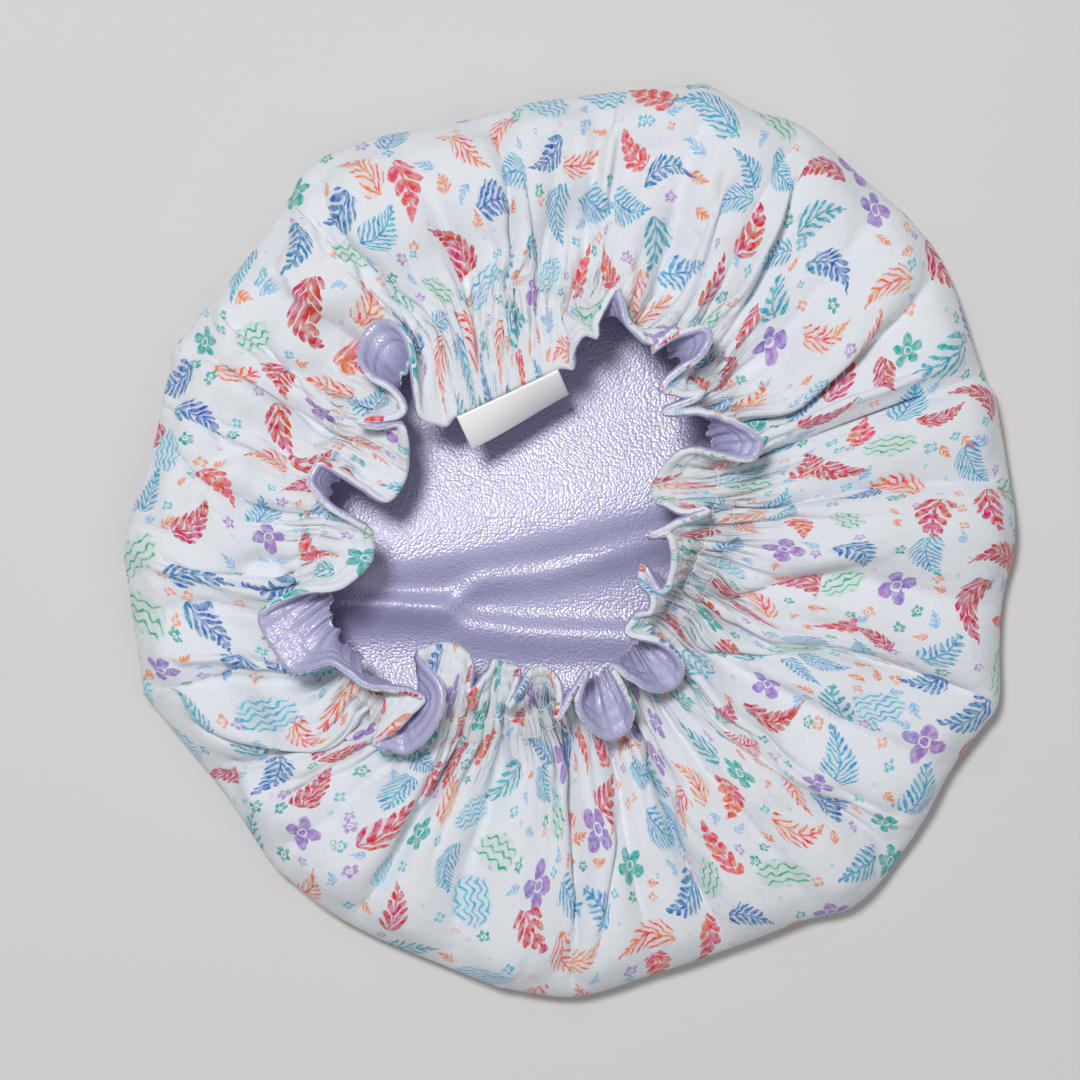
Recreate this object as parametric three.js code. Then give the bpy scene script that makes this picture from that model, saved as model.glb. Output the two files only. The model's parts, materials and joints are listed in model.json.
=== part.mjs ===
// A gathered shower cap lying on its crown with its opening up: a printed cotton disc and a
// waterproof lining disc, sewn together round their rim and turned, with an elastic in a casing
// that leaves a ruffled header round the opening. Millimetres, +Z up, +Y towards the label side.
import * as THREE from 'three';

// The body as it lies, seen from above and from the side
const bodyReach = 147;
const bodyRise = 21;
const edgeRise = 8;
const browRise = 18;
const browInset = 7;
const shoulderRise = 22;
const foldDepth = 9;

// The gathered ring: the elastic's oval, off the middle of the body
const ringLength = 160;
const ringWidth = 130;
const ringTurn = 50;
const ringEast = -17;
const ringNorth = 9;

// The casing between its two stitch rows, and the ruffled header beyond it
const casingWidth = 10;
const stitchInset = 0.9;
const casingTilt = 32;
const headerWidth = 17;

// The cloths, the elastic and the thread
const outerThickness = 0.4;
const liningThickness = 0.4;
const clearance = 0.3;
const elasticWidth = 8;
const elasticThickness = 0.8;
const elasticOverlap = 14;
const threadDiameter = 0.4;

// The folded ribbon label in the rim seam, on a straight stretch of rim that faces labelFacing
// and lies labelReach from the middle of the ring
const labelLength = 36;
const labelDrop = 12;
const ribbonThickness = 0.3;
const labelDroop = 30;
const labelFacing = 115;
const labelReach = 36.5;
const labelShift = 13;
const labelMargin = 3.5;
const labelGap = 0.9;

// Reach of the body's outline, anticlockwise: degrees, share of bodyReach
const outlineShares = [
  [3, 0.995], [19, 1.0], [28, 1.01], [36, 1.035], [47, 1.042], [54, 1.05], [61, 1.06], [67, 1.046],
  [73, 1.062], [83, 1.02], [91, 0.986], [105, 0.972], [117, 1.007], [125, 1.025], [132, 0.977],
  [145, 0.96], [154, 0.993], [164, 0.957], [173, 0.973], [181, 0.993], [195, 1.002], [200, 1.015],
  [208, 0.975], [215, 0.957], [227, 0.983], [239, 0.993], [248, 0.988], [261, 1.012], [271, 1.02],
  [282, 0.986], [292, 0.979], [301, 0.997], [308, 1.035], [316, 1.026], [328, 0.995], [338, 1.021],
  [347, 0.986], [353, 0.977],
];

// Deep creases that run out from the ring: degrees, share of foldDepth. Each is creaseHalfWidth
// degrees wide to either side, and shallower by browSagShare near the body's edge.
const creaseShares = [
  [8, 0.5], [22, 0.6], [36, 1.0], [47, 0.5], [60, 0.9], [72, 0.5], [86, 0.6], [101, 0.9], [113, 0.5],
  [125, 1.0], [140, 0.5], [153, 1.3], [167, 0.5], [178, 0.9], [190, 0.4], [201, 1.5], [214, 0.6],
  [227, 0.5], [240, 0.7], [254, 0.6], [270, 1.1], [281, 0.6], [291, 0.9], [303, 0.5], [316, 1.3],
  [329, 0.5], [339, 1.2], [351, 0.7],
];
const creaseHalfWidth = 5.5;
const browSagShare = 0.5;

// The tips of the rim's folds, anticlockwise outside the label's stretch: degrees, share of the
// ring's mean reach, share of headerWidth up
const ruffleShares = [
  [0, 0.86, 0.45], [9, 0.63, 0.3], [20, 1.1, 0.35], [32, 0.8, 0.35], [43, 1.14, 0.35], [52, 0.95, 0.4],
  [65, 1.09, 0.45], [136, 1.04, 0.4], [146, 0.65, 0.35], [160, 0.56, 0.3], [174, 0.93, 0.45],
  [189, 0.69, 0.3], [203, 1.2, 0.35], [215, 1.22, 0.35], [228, 1.0, 0.45], [239, 1.18, 0.35],
  [250, 0.69, 0.3], [265, 0.87, 0.5], [277, 0.73, 0.3], [291, 1.08, 0.35], [301, 0.8, 0.35],
  [311, 1.05, 0.35], [322, 0.7, 0.3], [337, 0.61, 0.3], [350, 0.62, 0.3],
];

// How the header stands between those tips: bluntShare of the way to the next fold a tip is as wide
// as its end, a wall rises standingShare of its length above the casing, and half way up the header
// curls out by headerCurlShare of its width. The label's stretch lies headerRestShare up.
const stretchSteps = 6;
const headerRestShare = 0.3;
const bluntShare = 0.26;
const standingShare = 0.3;
const headerCurlShare = 0.14;

// Where the rows of the two faces lie: share of the way from the middle out to the outline on the
// table, then of the way from the outline back in to the ring
const innerFloorShare = 0.45;
const outerFloorShare = 0.87;
const shoulderShare = 0.42;
const midHeaderShare = 0.42;

const degrees = Math.PI / 180;
const fullTurn = 360;
const halfTurn = 180;
const quarterTurn = 90;

// A value read off a closed table of [degrees, value] rows, straight between its rows
function around(table, bearing) {
  const angle = ((bearing % fullTurn) + fullTurn) % fullTurn;
  let next = table.findIndex((row) => row[0] > angle);
  if (next < 0) next = 0;
  const after = table[next];
  const before = table[(next + table.length - 1) % table.length];
  const span = (after[0] - before[0] + fullTurn) % fullTurn;
  const gone = (angle - before[0] + fullTurn) % fullTurn;
  return THREE.MathUtils.lerp(before[1], after[1], gone / span);
}

// The straight stretch of rim that holds the label, in even steps
const ringMean = (ringLength + ringWidth) / 4;
const stretch = Array.from({ length: stretchSteps + 1 }, (_, k) => {
  const along = labelShift + (0.5 - k / stretchSteps) * (labelLength + 2 * labelMargin);
  const bearing = labelFacing - Math.atan2(along, labelReach) / degrees;
  return { bearing, reach: Math.hypot(along, labelReach), rise: headerRestShare * headerWidth, straight: true };
});

// Samples all round the cap: those of the stretch, and two for each fold of the ruffle, a share
// of the way to the folds beside it, so that its end is blunt and its walls stand side by side
const ruffle = ruffleShares.map(([bearing, reach, rise]) => (
  { bearing, reach: reach * ringMean, rise: rise * headerWidth }));
const folds = [...ruffle, ...stretch].sort((a, b) => a.bearing - b.bearing);
const samples = folds.flatMap((fold, k) => {
  const next = folds[(k + 1) % folds.length];
  const last = folds[(k + folds.length - 1) % folds.length];
  const ahead = (next.bearing - fold.bearing + fullTurn) % fullTurn;
  const behind = (fold.bearing - last.bearing + fullTurn) % fullTurn;
  const ends = fold.straight ? [0] : [-bluntShare * behind, bluntShare * ahead];
  const blunt = ends.map((turn) => ({ ...fold, bearing: fold.bearing + turn }));
  if (fold.straight && next.straight) return blunt;
  const rise = Math.max(standingShare * Math.abs(next.reach - fold.reach), (fold.rise + next.rise) / 2);
  return [...blunt, { bearing: fold.bearing + ahead / 2, reach: (fold.reach + next.reach) / 2, rise }];
}).map((sample) => ({ ...sample, bearing: (sample.bearing + fullTurn) % fullTurn }))
  .sort((a, b) => a.bearing - b.bearing);
const count = samples.length;

// A point of the gathered oval, drawn in by inset, at a height
function ringPoint(bearing, inset, height) {
  const angle = (bearing - ringTurn) * degrees;
  const along = ringLength / 2 - inset;
  const across = ringWidth / 2 - inset;
  const reach = (along * across) / Math.hypot(across * Math.cos(angle), along * Math.sin(angle));
  return pointFrom(ringEast, ringNorth, bearing, reach, height);
}

function pointFrom(east, north, bearing, reach, height) {
  const angle = bearing * degrees;
  return new THREE.Vector3(east + reach * Math.cos(angle), north + reach * Math.sin(angle), height);
}

// A crease is a valley with straight sides
function creaseAt(bearing) {
  return creaseShares.reduce((depth, [at, share]) => {
    const away = Math.abs(((bearing - at + fullTurn + halfTurn) % fullTurn) - halfTurn);
    return Math.max(depth, share * Math.max(0, 1 - away / creaseHalfWidth));
  }, 0);
}

// The surface half way between the two cloths, one ring of points for each row
const floorHeight = outerThickness + clearance / 2;
const casingInset = casingWidth * Math.cos(casingTilt * degrees);
const casingTop = bodyRise + casingWidth * Math.sin(casingTilt * degrees);

function outlineReach(bearing) {
  return bodyReach * around(outlineShares, bearing);
}

function floorRow(share) {
  return ({ bearing }) => pointFrom(0, 0, bearing, share * outlineReach(bearing), floorHeight);
}

function edgePoint({ bearing }) {
  return pointFrom(0, 0, bearing, outlineReach(bearing), edgeRise);
}

function browPoint({ bearing }) {
  const sag = browSagShare * foldDepth * creaseAt(bearing);
  return pointFrom(0, 0, bearing, outlineReach(bearing) - browInset, browRise - sag);
}

function shoulderPoint(sample) {
  const point = edgePoint(sample).lerp(ringPoint(sample.bearing, 0, 0), shoulderShare);
  const fold = foldDepth * (0.5 - creaseAt(sample.bearing));
  return point.setZ(shoulderRise + fold);
}

function rimPoint({ bearing, reach, rise }) {
  return pointFrom(ringEast, ringNorth, bearing, reach, casingTop + rise);
}

function midHeaderPoint(sample) {
  const point = ringPoint(sample.bearing, casingInset, casingTop).lerp(rimPoint(sample), midHeaderShare);
  return point.setZ(point.z + headerCurlShare * headerWidth);
}

// The elastic's ends lap over each other from this sample on
const lapBearing = 226;
const lapStart = samples.findIndex(({ bearing }) => bearing >= lapBearing);
const lapEnd = lapStart + lapSpan();

// What lies between the two cloths sets the gap between them: the elastic in the casing, its two
// ends and a zigzag thread in the middle of the lap, and the seam's thread at the rim
const casingGap = elasticThickness + 2 * clearance;
const lapShift = (elasticThickness + clearance) / 2;
const zigzagLevel = lapShift + (elasticThickness + threadDiameter) / 2 + clearance;
const lapGap = 2 * (zigzagLevel + threadDiameter / 2 + clearance);
const rimGap = threadDiameter + 4 * clearance;

// The number of samples, with a part of one, that the lap takes along the ring
function lapSpan() {
  let left = elasticOverlap;
  for (let i = lapStart; i < samples.length - 1; i += 1) {
    const [here, there] = [samples[i], samples[i + 1]]
      .map(({ bearing }) => ringPoint(bearing, casingInset / 2, bodyRise));
    const step = here.distanceTo(there);
    if (step > left) return i - lapStart + left / step;
    left -= step;
  }
  return samples.length - 1 - lapStart;
}

function casingGapAt(i) {
  return i >= lapStart - 1 && i <= Math.ceil(lapEnd) + 1 ? lapGap : casingGap;
}

// stride: every how many samples the row has a point; gap: between the two cloths at a sample
const rows = [
  { stride: 4, gap: () => clearance, at: floorRow(innerFloorShare), flat: true },
  { stride: 2, gap: () => clearance, at: floorRow(outerFloorShare), flat: true },
  { stride: 1, gap: () => clearance, at: edgePoint },
  { stride: 1, gap: () => clearance, at: browPoint },
  { stride: 1, gap: () => clearance, at: shoulderPoint },
  { stride: 1, gap: casingGapAt, at: ({ bearing }) => ringPoint(bearing, 0, bodyRise) },
  { stride: 1, gap: casingGapAt, at: ({ bearing }) => ringPoint(bearing, casingInset, casingTop) },
  { stride: 1, gap: () => clearance, at: midHeaderPoint },
  { stride: 1, gap: () => rimGap, at: rimPoint },
];
const edgeRow = 2;
const casingRow = 5;
const headerRow = 6;
const rimRow = 8;

const mid = rows.map((row) => samples.map((sample) => row.at(sample)));

// Centre the outline on the origin
const box = new THREE.Box3().setFromPoints(mid[edgeRow]);
const centre = box.getCenter(new THREE.Vector3()).setZ(0);
mid.forEach((row) => row.forEach((point) => point.sub(centre)));

// Triangles between two closed rings of points, walked side by side. Where they keep step, each
// square is cut along its shorter diagonal.
function bandBetween(inner, outer, points) {
  const faces = [];
  const stepsInner = (a, b, nextA, nextB) => points[nextA].distanceTo(points[b])
    < points[a].distanceTo(points[nextB]);
  let [i, o] = [0, 0];
  while (i < inner.length || o < outer.length) {
    const [a, nextA] = [inner[i % inner.length], inner[(i + 1) % inner.length]];
    const [b, nextB] = [outer[o % outer.length], outer[(o + 1) % outer.length]];
    const lead = (o + 1) * inner.length - (i + 1) * outer.length;
    const inStep = lead === 0 && inner.length === outer.length;
    if (lead > 0 || (inStep && stepsInner(a, b, nextA, nextB))) {
      i += 1;
      faces.push([a, b, nextA]);
    } else {
      o += 1;
      faces.push([a, b, nextB]);
    }
  }
  return faces;
}

const midPoints = mid.flat();
const rings = rows.map((row, j) => samples.map((_, i) => j * count + i).filter((_, i) => i % row.stride === 0));
const bands = rings.slice(1).flatMap((ring, j) => bandBetween(rings[j], ring, midPoints));

// The way out of the cap at a point: square to the surface, longer where the cloth turns a corner so
// that it keeps its thickness, and in the ruffle leant away from the ring's middle, so that the
// cloths stay apart where the walls of a fold turn from one face to the other
const mitreShare = 2;
const leanShare = 1;
const down = new THREE.Vector3(0, 0, -1);
const normals = rows.map((row, j) => mid[j].map((point, i) => {
  if (row.flat) return down.clone();
  const next = mid[j][(i + 1) % count];
  const last = mid[j][(i + count - 1) % count];
  const inner = mid[j - 1][i];
  const outer = mid[Math.min(j + 1, rimRow)][i];
  const round = next.clone().sub(point).normalize().add(point.clone().sub(last).normalize());
  const along = outer.clone().sub(point).normalize().add(point.clone().sub(inner).normalize());
  const mitre = Math.min(mitreShare, 2 / round.length());
  const square = round.cross(along).normalize();
  if (j <= headerRow) return square.multiplyScalar(mitre);
  return square.add(pointFrom(0, 0, samples[i].bearing, leanShare, 0)).normalize();
}));

function offsetPoint(j, i, distance) {
  const k = (i + count) % count;
  return mid[j][k].clone().addScaledVector(normals[j][k], distance);
}

function geometryOf(points, triangles) {
  const geometry = new THREE.BufferGeometry();
  const positions = new Float32Array(points.flatMap((point) => point.toArray()));
  geometry.setAttribute('position', new THREE.BufferAttribute(positions, 3));
  geometry.setIndex(triangles);
  geometry.computeVertexNormals();
  return geometry;
}

// One cloth: two faces over all the rows, joined by a strip along the rim
function clothGeometry(side, thickness) {
  const points = [];
  const triangles = [];
  const face = (far) => {
    const distanceAt = (gap) => side * (gap / 2 + (far ? thickness : 0));
    const start = points.length;
    mid.forEach((row, j) => row.forEach((_, i) => points.push(offsetPoint(j, i, distanceAt(rows[j].gap(i))))));
    const middle = points.length;
    points.push(new THREE.Vector3(0, 0, floorHeight - distanceAt(clearance)));
    const fan = rings[0].map((k, n) => [middle, start + k, start + rings[0][(n + 1) % rings[0].length]]);
    const faces = [...fan, ...bands.map((corners) => corners.map((k) => start + k))];
    triangles.push(...(far ? faces : faces.map(([a, b, c]) => [a, c, b])).flat());
    return rings[rimRow].map((k) => start + k);
  };
  const near = face(false);
  const far = face(true);
  triangles.push(...bandBetween(far, near, points).flat());
  return outwards(geometryOf(points, triangles));
}

// Turns every face over if they enclose a negative volume
function outwards(geometry) {
  const index = geometry.getIndex();
  const position = geometry.getAttribute('position');
  const [a, b, c] = [new THREE.Vector3(), new THREE.Vector3(), new THREE.Vector3()];
  let volume = 0;
  for (let t = 0; t < index.count; t += 3) {
    a.fromBufferAttribute(position, index.getX(t));
    b.fromBufferAttribute(position, index.getX(t + 1));
    c.fromBufferAttribute(position, index.getX(t + 2));
    volume += a.dot(b.cross(c));
  }
  if (volume < 0) {
    for (let t = 0; t < index.count; t += 3) {
      const second = index.getX(t + 1);
      index.setX(t + 1, index.getX(t + 2));
      index.setX(t + 2, second);
    }
  }
  geometry.computeVertexNormals();
  return geometry;
}

// A bar swept through sections of points, closed on itself or capped at its ends
function sweptGeometry(sections, closed) {
  const sides = sections[0].length;
  const points = sections.flat();
  const rings = sections.map((section, s) => section.map((_, k) => s * sides + k));
  const faces = [];
  rings.forEach((ring, s) => {
    if (closed || s < rings.length - 1) faces.push(...bandBetween(ring, rings[(s + 1) % rings.length], points));
  });
  if (!closed) {
    for (let k = 1; k < sides - 1; k += 1) {
      const [first, last] = [rings[0], rings[rings.length - 1]];
      faces.push([first[0], first[k + 1], first[k]].reverse(), [last[0], last[k + 1], last[k]]);
    }
  }
  return outwards(geometryOf(points, faces.flat()));
}

// Unit frame at a point: out of the cap, and up the cloth across the row
function frameAt(j, i) {
  const k = (i + count) % count;
  const round = mid[j][(k + 1) % count].clone().sub(mid[j][(k + count - 1) % count]).normalize();
  const out = normals[j][k].clone().normalize();
  return { out, across: out.clone().cross(round).normalize() };
}

// A thread's four-sided section at a point
function threadSection(point, out, across) {
  const radius = threadDiameter / 2;
  return [[1, 0], [0, 1], [-1, 0], [0, -1]].map(([o, a]) => point.clone()
    .addScaledVector(out, o * radius).addScaledVector(across, a * radius));
}

// A thread run once round the casing beside a stitched row, a share of the way up it: side 1 on
// the printed cotton, -1 on the lining
function casingThreadGeometry(share, side) {
  const thickness = side > 0 ? outerThickness : liningThickness;
  const row = share < 0.5 ? casingRow : headerRow;
  const sections = samples.map((_, i) => {
    const clear = casingGapAt(i) / 2 + thickness + clearance + threadDiameter / 2;
    const { out, across } = frameAt(row, i);
    return threadSection(casingPoint(i, share, side * clear), out, across);
  });
  return sweptGeometry(sections, true);
}

// The thread of the rim's seam, between the turned edges of the two cloths and just below them
function rimThreadGeometry() {
  const radius = threadDiameter / 2;
  const sections = samples.map((_, i) => [[0, 0], [1, 1], [2, 0], [1, -1]].map(([below, aside]) => {
    const distance = aside * radius;
    const rim = offsetPoint(rimRow, i, distance);
    const toBody = offsetPoint(rimRow - 1, i, distance).sub(rim);
    return rim.addScaledVector(toBody, (below * radius) / toBody.length());
  }));
  return sweptGeometry(sections, true);
}

// A point of the casing at a sample or between two: share is the way up it, distance the way out
function casingPoint(u, share, distance) {
  const i = Math.floor(u);
  const onSample = (k) => offsetPoint(casingRow, k, distance)
    .lerp(offsetPoint(headerRow, k, distance), share);
  return onSample(i).lerp(onSample(i + 1), u - i);
}

// The elastic: a flat strip once round the casing, its ends lapped over each other
const elasticMarginShare = (casingWidth - elasticWidth) / (2 * casingWidth);
function elasticGeometry() {
  const corners = [[elasticMarginShare, 0.5], [1 - elasticMarginShare, 0.5],
    [1 - elasticMarginShare, -0.5], [elasticMarginShare, -0.5]];
  const sectionAt = (u, shift) => corners
    .map(([share, level]) => casingPoint(u, share, shift + level * elasticThickness));
  const lapFull = Math.ceil(lapEnd);
  const sections = [];
  for (let i = lapStart; i <= lapFull; i += 1) sections.push(sectionAt(i, lapShift));
  for (let i = lapFull + 1; i < lapStart + count; i += 1) sections.push(sectionAt(i, 0));
  for (let i = lapStart; i < lapEnd; i += 1) sections.push(sectionAt(i + count, -lapShift));
  sections.push(sectionAt(lapEnd + count, -lapShift));
  return sweptGeometry(sections, false);
}

// The zigzag that holds the lapped ends, on the face towards the printed cotton
const zigzagTurns = 8;
const zigzagShares = [0.25, 0.75];
function joinThreadGeometry() {
  const inset = (lapEnd - lapStart) / zigzagTurns;
  const sections = Array.from({ length: zigzagTurns + 1 }, (_, k) => {
    const u = THREE.MathUtils.lerp(lapStart + inset, lapEnd - inset, k / zigzagTurns);
    const { out, across } = frameAt(casingRow, Math.round(u));
    return threadSection(casingPoint(u, zigzagShares[k % 2], zigzagLevel), out, across);
  });
  return sweptGeometry(sections, false);
}

// The label: a ribbon folded in two, its cut ends at the rim seam and its fold hanging free
const labelFoldSteps = 6;
function labelGeometry() {
  const inner = clearance / 2;
  const outer = inner + ribbonThickness;
  const foldAt = labelDrop - outer;
  const shape = new THREE.Shape();
  shape.moveTo(0, inner);
  shape.lineTo(foldAt, inner);
  shape.absarc(foldAt, 0, inner, Math.PI / 2, -Math.PI / 2, true);
  shape.lineTo(0, -inner);
  shape.lineTo(0, -outer);
  shape.lineTo(foldAt, -outer);
  shape.absarc(foldAt, 0, outer, -Math.PI / 2, Math.PI / 2, false);
  shape.lineTo(0, outer);
  shape.closePath();
  const options = { depth: labelLength, bevelEnabled: false, curveSegments: labelFoldSteps };
  const geometry = new THREE.ExtrudeGeometry(shape, options);
  return geometry.translate(0, 0, -labelLength / 2);
}

const printedCotton = new THREE.MeshStandardMaterial({ color: '#f2f1ee', roughness: 0.85 });
const coatedLining = new THREE.MeshStandardMaterial({ color: '#b9a0dc', roughness: 0.3 });
const ribbonWhite = new THREE.MeshStandardMaterial({ color: '#fbfbfa', roughness: 0.6 });
const rubberWhite = new THREE.MeshStandardMaterial({ color: '#eeeae2', roughness: 0.7 });
const threadWhite = new THREE.MeshStandardMaterial({ color: '#f6f6f4', roughness: 0.7 });

const cap = new THREE.Group();
function addPiece(name, geometry, material) {
  const mesh = new THREE.Mesh(geometry, material);
  mesh.name = name;
  cap.add(mesh);
  return mesh;
}

addPiece('outer_fabric', clothGeometry(1, outerThickness), printedCotton);
addPiece('lining', clothGeometry(-1, liningThickness), coatedLining);
addPiece('elastic_band', elasticGeometry(), rubberWhite);
addPiece('elastic_join_thread', joinThreadGeometry(), threadWhite);
const bodyStitchShare = stitchInset / casingWidth;
const headerStitchShare = 1 - bodyStitchShare;
addPiece('casing_body_needle_thread', casingThreadGeometry(bodyStitchShare, 1), threadWhite);
addPiece('casing_body_bobbin_thread', casingThreadGeometry(bodyStitchShare, -1), threadWhite);
addPiece('casing_header_needle_thread', casingThreadGeometry(headerStitchShare, 1), threadWhite);
addPiece('casing_header_bobbin_thread', casingThreadGeometry(headerStitchShare, -1), threadWhite);
addPiece('rim_seam_thread', rimThreadGeometry(), threadWhite);

// The label's root runs along the rim's straight stretch, labelGap off it, so that it also clears
// the rim when it hangs straight down; the label droops into the opening and turns about its root
const labelRoot = labelGap + ribbonThickness + clearance / 2;
const labelHinge = pointFrom(ringEast, ringNorth, labelFacing, labelReach - labelRoot, 0)
  .add(pointFrom(0, 0, labelFacing - quarterTurn, labelShift, 0))
  .sub(centre)
  .setZ(casingTop + headerRestShare * headerWidth);
const label = addPiece('label', labelGeometry(), ribbonWhite);
label.rotation.set(Math.PI / 2, 0, 0);
const labelDip = new THREE.Group();
labelDip.rotation.y = labelDroop * degrees;
labelDip.add(label);
const labelTurn = new THREE.Group();
labelTurn.position.copy(labelHinge);
labelTurn.rotation.z = (labelFacing + halfTurn) * degrees;
labelTurn.add(labelDip);
cap.add(labelTurn);

export default cap;
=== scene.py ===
# A gathered shower cap of printed cotton with a waterproof lining, lying on its crown with its
# opening up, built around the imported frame. Metres, +Z up, +Y towards the label side.
import json
import math

import bpy
import numpy as np
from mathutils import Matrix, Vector


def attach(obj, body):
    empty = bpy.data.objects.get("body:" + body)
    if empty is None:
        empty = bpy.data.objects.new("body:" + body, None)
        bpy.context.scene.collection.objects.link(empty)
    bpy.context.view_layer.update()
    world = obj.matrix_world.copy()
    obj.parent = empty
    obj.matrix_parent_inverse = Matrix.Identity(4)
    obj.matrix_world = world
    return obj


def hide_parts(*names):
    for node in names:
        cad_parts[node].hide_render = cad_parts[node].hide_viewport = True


MM = 0.001
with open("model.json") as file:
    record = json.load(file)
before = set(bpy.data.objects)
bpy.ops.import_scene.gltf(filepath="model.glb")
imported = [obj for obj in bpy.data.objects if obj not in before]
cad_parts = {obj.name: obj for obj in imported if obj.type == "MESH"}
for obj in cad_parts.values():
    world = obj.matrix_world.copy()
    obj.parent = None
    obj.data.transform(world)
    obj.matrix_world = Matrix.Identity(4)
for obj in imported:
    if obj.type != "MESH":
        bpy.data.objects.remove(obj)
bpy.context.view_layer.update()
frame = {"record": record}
bpy.ops.object.select_all(action="DESELECT")


# The camera hangs straight above the table, with the photograph's upper edge towards +Y. A pixel of
# the photograph is PIXEL wide on the table, and less on what stands nearer to the camera.
PHOTO_SIDE = 1080
PIXEL = 0.33 * MM
CAMERA_HEIGHT = 1200 * MM
CAMERA_EAST = -10 * MM
CAMERA_NORTH = 0.2 * MM
SENSOR = 36
camera = bpy.data.objects.new("camera", bpy.data.cameras.new("camera"))
bpy.context.scene.collection.objects.link(camera)
bpy.context.scene.camera = camera
camera.location = (CAMERA_EAST, CAMERA_NORTH, CAMERA_HEIGHT)
camera.data.sensor_width = SENSOR
camera.data.lens = SENSOR * CAMERA_HEIGHT / (PHOTO_SIDE * PIXEL)
camera.data.clip_end = 10 * CAMERA_HEIGHT


def from_photo(pixels, height):
    """Places on the cap, at a height over the table, of pixels of the photograph."""
    pixels = np.asarray(pixels, float)
    scale = PIXEL * (1 - height / CAMERA_HEIGHT)
    east = CAMERA_EAST + (pixels[:, 0] - PHOTO_SIDE / 2) * scale
    north = CAMERA_NORTH + (PHOTO_SIDE / 2 - pixels[:, 1]) * scale
    return np.column_stack([east, north])


# The table is one wide plain sheet of matt pale grey card that the cap lies on. The room round it is
# as pale, and two soft boxes light the cap: a small one for its shadows and a wide one to fill them.
def linear(hex_colour):
    """Blender's linear colour for an sRGB one written as in #rrggbb."""
    parts = [int(hex_colour[k:k + 2], 16) / 255 for k in (1, 3, 5)]
    return [*(c / 12.92 if c <= 0.04045 else ((c + 0.055) / 1.055) ** 2.4 for c in parts), 1]


def node(tree, kind, inputs=(), **settings):
    """Adds a node. Its inputs, in order or by name, are values or other nodes' outputs, linked."""
    made = tree.nodes.new("ShaderNode" + kind)
    for name, value in settings.items():
        setattr(made, name, value)
    for key, value in inputs.items() if isinstance(inputs, dict) else enumerate(inputs):
        if isinstance(value, bpy.types.Node):
            value = value.outputs[0]
        if isinstance(value, bpy.types.NodeSocket):
            tree.links.new(value, made.inputs[key])
        else:
            made.inputs[key].default_value = value
    return made


def new_material(name, colour, roughness, **sockets):
    """A material with its shader's sockets set, its tree and that shader."""
    material = bpy.data.materials.new(name)
    material.use_nodes = True
    shader = material.node_tree.nodes["Principled BSDF"]
    shader.inputs["Base Color"].default_value = linear(colour)
    shader.inputs["Roughness"].default_value = roughness
    for key, value in sockets.items():
        shader.inputs[key.replace("_", " ")].default_value = value
    return material, material.node_tree, shader


def seen_rays(tree):
    """1 for the rays of the camera, of reflections and through clear things, for a pale background."""
    rays = node(tree, "LightPath").outputs
    seen = node(tree, "Math", [rays["Is Camera Ray"], rays["Is Glossy Ray"]], operation="MAXIMUM")
    return node(tree, "Math", [seen, rays["Is Transmission Ray"]], operation="MAXIMUM")


TABLE_SIDE = 6000 * MM
PALE = "#d3d3d2"
FADE_FROM, FADE_TO = 0.45, 1.1
bpy.ops.mesh.primitive_plane_add(size=TABLE_SIDE)
table = bpy.context.object
table.name = "table"
card, card_tree, card_shader = new_material("pale_card", "#d9d8d6", 0.9)
# Far from the cap, where the lamps don't reach, the card is as pale to the camera as near it
far = node(card_tree, "TexCoord").outputs["Object"]
far = node(card_tree, "VectorMath", [far], operation="LENGTH").outputs["Value"]
far = node(card_tree, "MapRange", [far, FADE_FROM, FADE_TO, 0, 1])
to_eye = node(card_tree, "Math", [seen_rays(card_tree), far], operation="MULTIPLY")
lit_card = node(card_tree, "Emission", [linear(PALE), 1])
far_card = node(card_tree, "MixShader", [to_eye, card_shader, lit_card])
card_tree.links.new(far_card.outputs[0], card_tree.nodes["Material Output"].inputs["Surface"])
table.data.materials.append(card)

WORLD_LIGHT = 0.26
world = bpy.data.worlds.new("studio")
bpy.context.scene.world = world
world.use_nodes = True
around = world.node_tree
light_from_around = around.nodes["Background"]
light_from_around.inputs["Color"].default_value = linear("#f4f6fa")
light_from_around.inputs["Strength"].default_value = WORLD_LIGHT
seen_around = node(around, "Background", [linear(PALE), 1])
backdrop = node(around, "MixShader", [seen_rays(around), light_from_around, seen_around])
around.links.new(backdrop.outputs[0], around.nodes["World Output"].inputs["Surface"])
bpy.context.scene.view_settings.view_transform = "Standard"


def soft_lamp(name, place, side, watts):
    """A square soft box that faces the cap."""
    lamp = bpy.data.objects.new(name, bpy.data.lights.new(name, "AREA"))
    lamp.data.size = side
    lamp.data.energy = watts
    lamp.location = place
    lamp.rotation_euler = (-Vector(place)).to_track_quat("-Z", "Y").to_euler()
    bpy.context.scene.collection.objects.link(lamp)


soft_lamp("key_lamp", place=(-0.37, 0.5, 1.8), side=0.36, watts=23)
soft_lamp("fill_lamp", place=(1.1, -0.8, 1.6), side=1.4, watts=4)


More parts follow.
